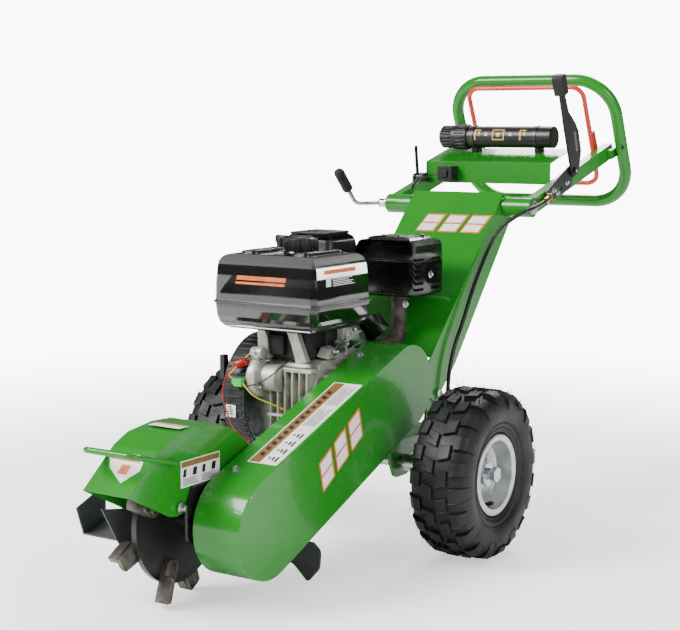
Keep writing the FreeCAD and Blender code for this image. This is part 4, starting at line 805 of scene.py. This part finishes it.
def strand(name, points, radius, finish, body):
    """A smooth round strand through a route's points, closed at both ends."""
    route = bpy.data.curves.new(name, "CURVE")
    route.dimensions = "3D"
    line = route.splines.new("NURBS")
    line.points.add(len(points) - 1)
    for knot, place in zip(line.points, points):
        knot.co = (*place, 1.0)
    line.order_u = 3
    line.use_endpoint_u = True
    route.resolution_u = 10
    route.bevel_depth = radius
    route.bevel_resolution = 3
    route.use_fill_caps = True
    holder = bpy.data.objects.new(name + "_route", route)
    bpy.context.scene.collection.objects.link(holder)
    bpy.context.view_layer.update()
    mesh = bpy.data.meshes.new_from_object(holder)
    bpy.data.objects.remove(holder)
    shape = bmesh.new()
    shape.from_mesh(mesh)
    bpy.data.meshes.remove(mesh)
    return build(name, shape, finish, body, crease=None)


def sheath(name, colour, shade):
    """PVC insulation: smooth and slightly waxy."""
    return material(name, colour, patch=30, shades=(colour, shade), grain=2.0, height=0.02,
                    sheen=(0.28, 0.4))


red_sheath = sheath("red_sheath", "96150f", "a61d15")
yellow_sheath = sheath("yellow_sheath", "b8b02a", "c8c03a")
green_plastic = sheath("green_connector", "1fae3a", "2fbf4a")
black_sheath = sheath("black_sheath", "0d0d0d", "161616")
starter = bmesh.new()
rod(starter, mm(-128, -206, 384), mm(-100, -206, 384), 0.046, 0.044, sides=64, soft=0.009)
rod(starter, mm(-106, -206, 384), mm(-60, -206, 384), 0.030, sides=48, soft=0.003)
rod(starter, mm(-126, -222, 438), mm(-96, -222, 438), 0.013, sides=32, soft=0.003)
slab(starter, (-124, -232, 424), (-104, -206, 448), 0.004)
slab(starter, (-112, -252, 366), (-100, -236, 402), 0.004)
housing = build("starter_housing", starter, casting, "chassis")
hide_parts("starter_motor")
starter_trim = bmesh.new()
for place in ((-100, -206, 420), (-100, -236, 366), (-100, -180, 360)):
    bolt(starter_trim, mm(*place), (1, 0, 0), 0.008, 0.005, 0.007)
bolt(starter_trim, mm(-112, -232, 438), (0, -1, 0), 0.010, 0.006, 0.009)
build("starter_bolts", starter_trim, zinc, "chassis")
boot = bmesh.new()
rod(boot, mm(-128, -240, 420), mm(-150, -250, 412), 0.009, 0.010, sides=28, soft=0.003)
rod(boot, mm(-150, -250, 412), mm(-158, -252, 402), 0.007, 0.004, sides=24, soft=0.002)
build("terminal_boot", boot, red_sheath, "chassis")
plug = bmesh.new()
slab(plug, (-150, -262, 366), (-128, -248, 384), 0.002)
slab(plug, (-156, -260, 370), (-148, -250, 380), 0.0015)
build("green_connector", plug, green_plastic, "chassis")
strand("starter_lead", [mm(-148, -248, 414), mm(-168, -262, 396), mm(-176, -268, 350), mm(-168, -262, 306),
                        mm(-150, -256, 262), mm(-120, -240, 240)], 0.0017, red_sheath, "chassis")
strand("sensor_wire", [mm(-130, -256, 376), mm(-112, -262, 362), mm(-96, -256, 346), mm(-70, -230, 330),
                       mm(-40, -216, 316)], 0.0016, yellow_sheath, "chassis")
strand("earth_wire", [mm(-150, -256, 380), mm(-166, -262, 388), mm(-150, -262, 400), mm(-132, -240, 430),
                      mm(-120, -200, 452)], 0.0016, yellow_sheath, "chassis")
strand("coil_wire", [mm(-126, -250, 366), mm(-96, -262, 372), mm(-60, -252, 392), mm(-40, -226, 420),
                     mm(-20, -196, 440)], 0.0014, black_sheath, "chassis")
sticker("housing_label", mm(-176, -253.6, 296), (1, 0, 0), (0, 0, 1), [bar(0, 0, 26, 30)], white_vinyl)
sticker("housing_label_print", mm(-176, -253.6, 296), (1, 0, 0), (0, 0, 1), fine_print(4, 6, 17, 4, 5, 2.2),
        black_print, lift=0.3)

# ---- Handlebar ----------------------------------------------------------------------------------------
# Two box-section arms swing on the pivot shaft and carry the tray and a closed tube loop. A red bail
# inside the loop stops the engine when let go, and a round box for the manual is clamped on the tray.

# Gloss red powder coat on the bail's bent rod.
red = material("gloss_red_powder_coat", "c92a0c", patch=120, shades=("c0260a", "d23112"), grain=6.0,
               height=0.03, rounded=0.8, sheen=(0.24, 0.32), Coat_Weight=0.25, Coat_Roughness=0.08)
coat(red, "bail")
coat(plastic, "canister", "switch_button")
coat(zinc, "clamp_lever")

# Ribbed grip rubber: matt black, darker between its ribs.
coat(rubber, "clamp_grip", "brake_grip")

arm_slope = math.radians(15.5)


def on_arm(x, along, rise):
    """A place by the arms: millimetres in x, out from the pivot, and up from the arm's middle line."""
    return mm(x, pivot_y + along * math.cos(arm_slope) - rise * math.sin(arm_slope),
              pivot_z + along * math.sin(arm_slope) + rise * math.cos(arm_slope))


canister_y, canister_z, canister_radius = 700, 896, 28
collar = bmesh.new()
for index in range(20):
    turn = math.radians(18 * index)
    for low, high, radius in ((-128, -98, 31.5), (-172, -134, 27.5)):
        y, z = canister_y + radius * math.cos(turn), canister_z + radius * math.sin(turn)
        rod(collar, mm(low, y, z), mm(high, y, z), 0.0022, sides=10, soft=0.0005)
build("canister_cap_ribs", collar, plastic, "canister_lid")
# yellow printed marks round the canister
yellow_print = vinyl("yellow_print", "c9a227", "d8b23a")
canister_marks = bmesh.new()
for u, v, width, height in ((-58, -8, 4, 28), (-54, 17, 14, 3), (-46, 4, 3, 12), (-6, -8, 34, 3),
                            (-6, 18, 34, 3), (-6, -5, 3, 23), (25, -5, 3, 23), (6, 1, 10, 10),
                            (-28, 3, 8, 8), (42, 3, 8, 8),
                            (72, -8, 4, 28), (76, 17, 14, 3), (84, 4, 3, 12)):
    steps = math.ceil(height / 4)
    for step in range(steps):
        corners = []
        for depth in (canister_radius - 0.4, canister_radius + 0.4):
            for x, part in ((u, 0.01), (u + width, 0.01), (u + width, 0.99), (u, 0.99)):
                turn = (v + height * (step + part) / steps) / canister_radius
                corners.append(canister_marks.verts.new(mm(x - 10, canister_y - depth * math.cos(turn),
                                                           canister_z + depth * math.sin(turn))))
        bmesh.ops.convex_hull(canister_marks, input=corners)
build("canister_marks", canister_marks, yellow_print, "handlebar")
grip_ribs = bmesh.new()
grip_low, grip_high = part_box("clamp_grip")
grip_start = mm(-260, 366, 766)
grip_heading = (grip_start - mm(-258, 398, 730)).normalized()
for index in range(11):
    low = grip_start + grip_heading * (0.003 + 0.0052 * index)
    rod(grip_ribs, low, low + grip_heading * 0.0028, 0.0133, sides=28, soft=0.0006)
rod(grip_ribs, grip_start + grip_heading * 0.0605, grip_start + grip_heading * 0.0655, 0.0118, 0.008,
    sides=28, soft=0.001)
build("clamp_grip_ribs", grip_ribs, rubber, "clamp_lever")
# the brake lever: a stamped black plate, wide above its pin and narrowing to the grip
lever_foot, lever_top = on_arm(0, 228, 24), mm(0, 584, 1048)
lever_line = (lever_top - lever_foot).normalized()
lever_side = Vector((0, -lever_line.z, lever_line.y))
cheek = [(-14, -14), (-4, -26), (30, -52), (84, -56), (110, -46), (152, -19), (214, -13), (214, 11),
         (120, 16), (60, 16), (10, 18), (-12, 12)]
lever_slot = [(44, -34), (90, -38), (94, -32), (90, -27), (44, -24), (40, -29)]


def lever_plate(name, outline, x, thick, finish):
    """A flat plate on the brake lever: an outline along and across its line, standing at x; in metres."""
    shape = bmesh.new()
    flat = [lever_foot + Vector((x, 0, 0)) + (lever_line * u + lever_side * v) / 1000 for u, v in outline]
    plate(shape, flat, (thick, 0, 0))
    return build(name, shape, finish, "brake_lever")


brake_lever = lever_plate("brake_lever_cheek", cheek, 0.2072, 0.0056, black_enamel)
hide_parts("brake_lever")
lever_plate("brake_lever_slot", lever_slot, 0.2129, 0.0003, zinc)
brake_bolts = bmesh.new()
for along, rise in ((78, -6), (130, -2), (190, 6), (244, 26), (112, 10)):
    bolt(brake_bolts, on_arm(205, along, rise), (1, 0, 0), 0.009, 0.005, 0.0085)
bolt(brake_bolts, on_arm(216.5, 228, 24), (1, 0, 0), 0.008, 0.002, 0)
build("brake_bolts", brake_bolts, zinc, "handlebar")
# yellow passivated steel for the cable fitting on the arm
brass = material("yellow_passivated_steel", "b7a06a", patch=6, shades=("a48d56", "cbb47c"), grain=0.9,
                 height=0.03, rounded=0.5, sheen=(0.24, 0.38), Metallic=1.0)
coat(brass, "cable_fitting")
pin_seats = bmesh.new()
for x in (-203, 207):
    rod(pin_seats, mm(x, pivot_y, pivot_z), mm(x + (2 if x > 0 else -2), pivot_y, pivot_z), 0.0165, 0.015,
        sides=40, soft=0.0006)
build("pivot_end_caps", pin_seats, zinc, "handlebar")
loop_bolts = bmesh.new()
for side in (-1, 1):
    bolt(loop_bolts, mm(side * 246, 905, 868), (side, 0, 0), 0.010, 0.003, 0)
build("loop_bolts", loop_bolts, black_cast, "handlebar")

# ---- Cables -------------------------------------------------------------------------------------------
# A thick black brake cable and a thin throttle cable leave the levers, bend round the pivot and run
# down the column. They stand fixed, riding on no part, and keep their shape when the handlebar turns.

fitting_x = 213


def from_column(x, along, rise):
    """A place by the column's side: millimetres in x, down from the pivot, and out of its middle."""
    return mm(x, pivot_y - along * math.cos(column_slope) - rise * math.sin(column_slope),
              pivot_z - along * math.sin(column_slope) + rise * math.cos(column_slope))


brake_route = [on_arm(fitting_x, 41.9, 3), on_arm(fitting_x, 12, 3), mm(214, 430, 727), mm(181, 412, 708),
               mm(153, 396, 682), from_column(139, 130, 12), from_column(138, 200, 10),
               from_column(139, 280, 2),
               from_column(140, 350, -12), from_column(139, 420, -20), mm(139, 167, 330),
               mm(139, 167, 238.1)]
brake_cable = strand("brake_cable", brake_route, 0.005, black_sheath, None)
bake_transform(brake_cable)
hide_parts("brake_cable_upper", "brake_cable_lower")
throttle_route = [on_arm(-173, 117.9, 28), on_arm(-173, 88, 28), on_arm(-173, 64, 16), mm(-174, 520, 716),
                  mm(-173, 508, 686), mm(-173, 484, 656), mm(-169, 440, 626), mm(-167, 384, 600),
                  mm(-163, 322, 572), mm(-161, 262, 540), mm(-157, 206, 508), mm(-148, 170, 486),
                  mm(-148, 130.1, 486)]
throttle_cable = strand("throttle_cable", throttle_route, 0.003, black_sheath, None)
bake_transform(throttle_cable)
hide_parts("throttle_cable_upper", "throttle_cable_lower")
strand("switch_lead", [mm(-120, 584, 800), mm(-150, 580, 796), mm(-168, 560, 790), on_arm(-174, 90, 24)],
       0.0022, black_sheath, "handlebar")
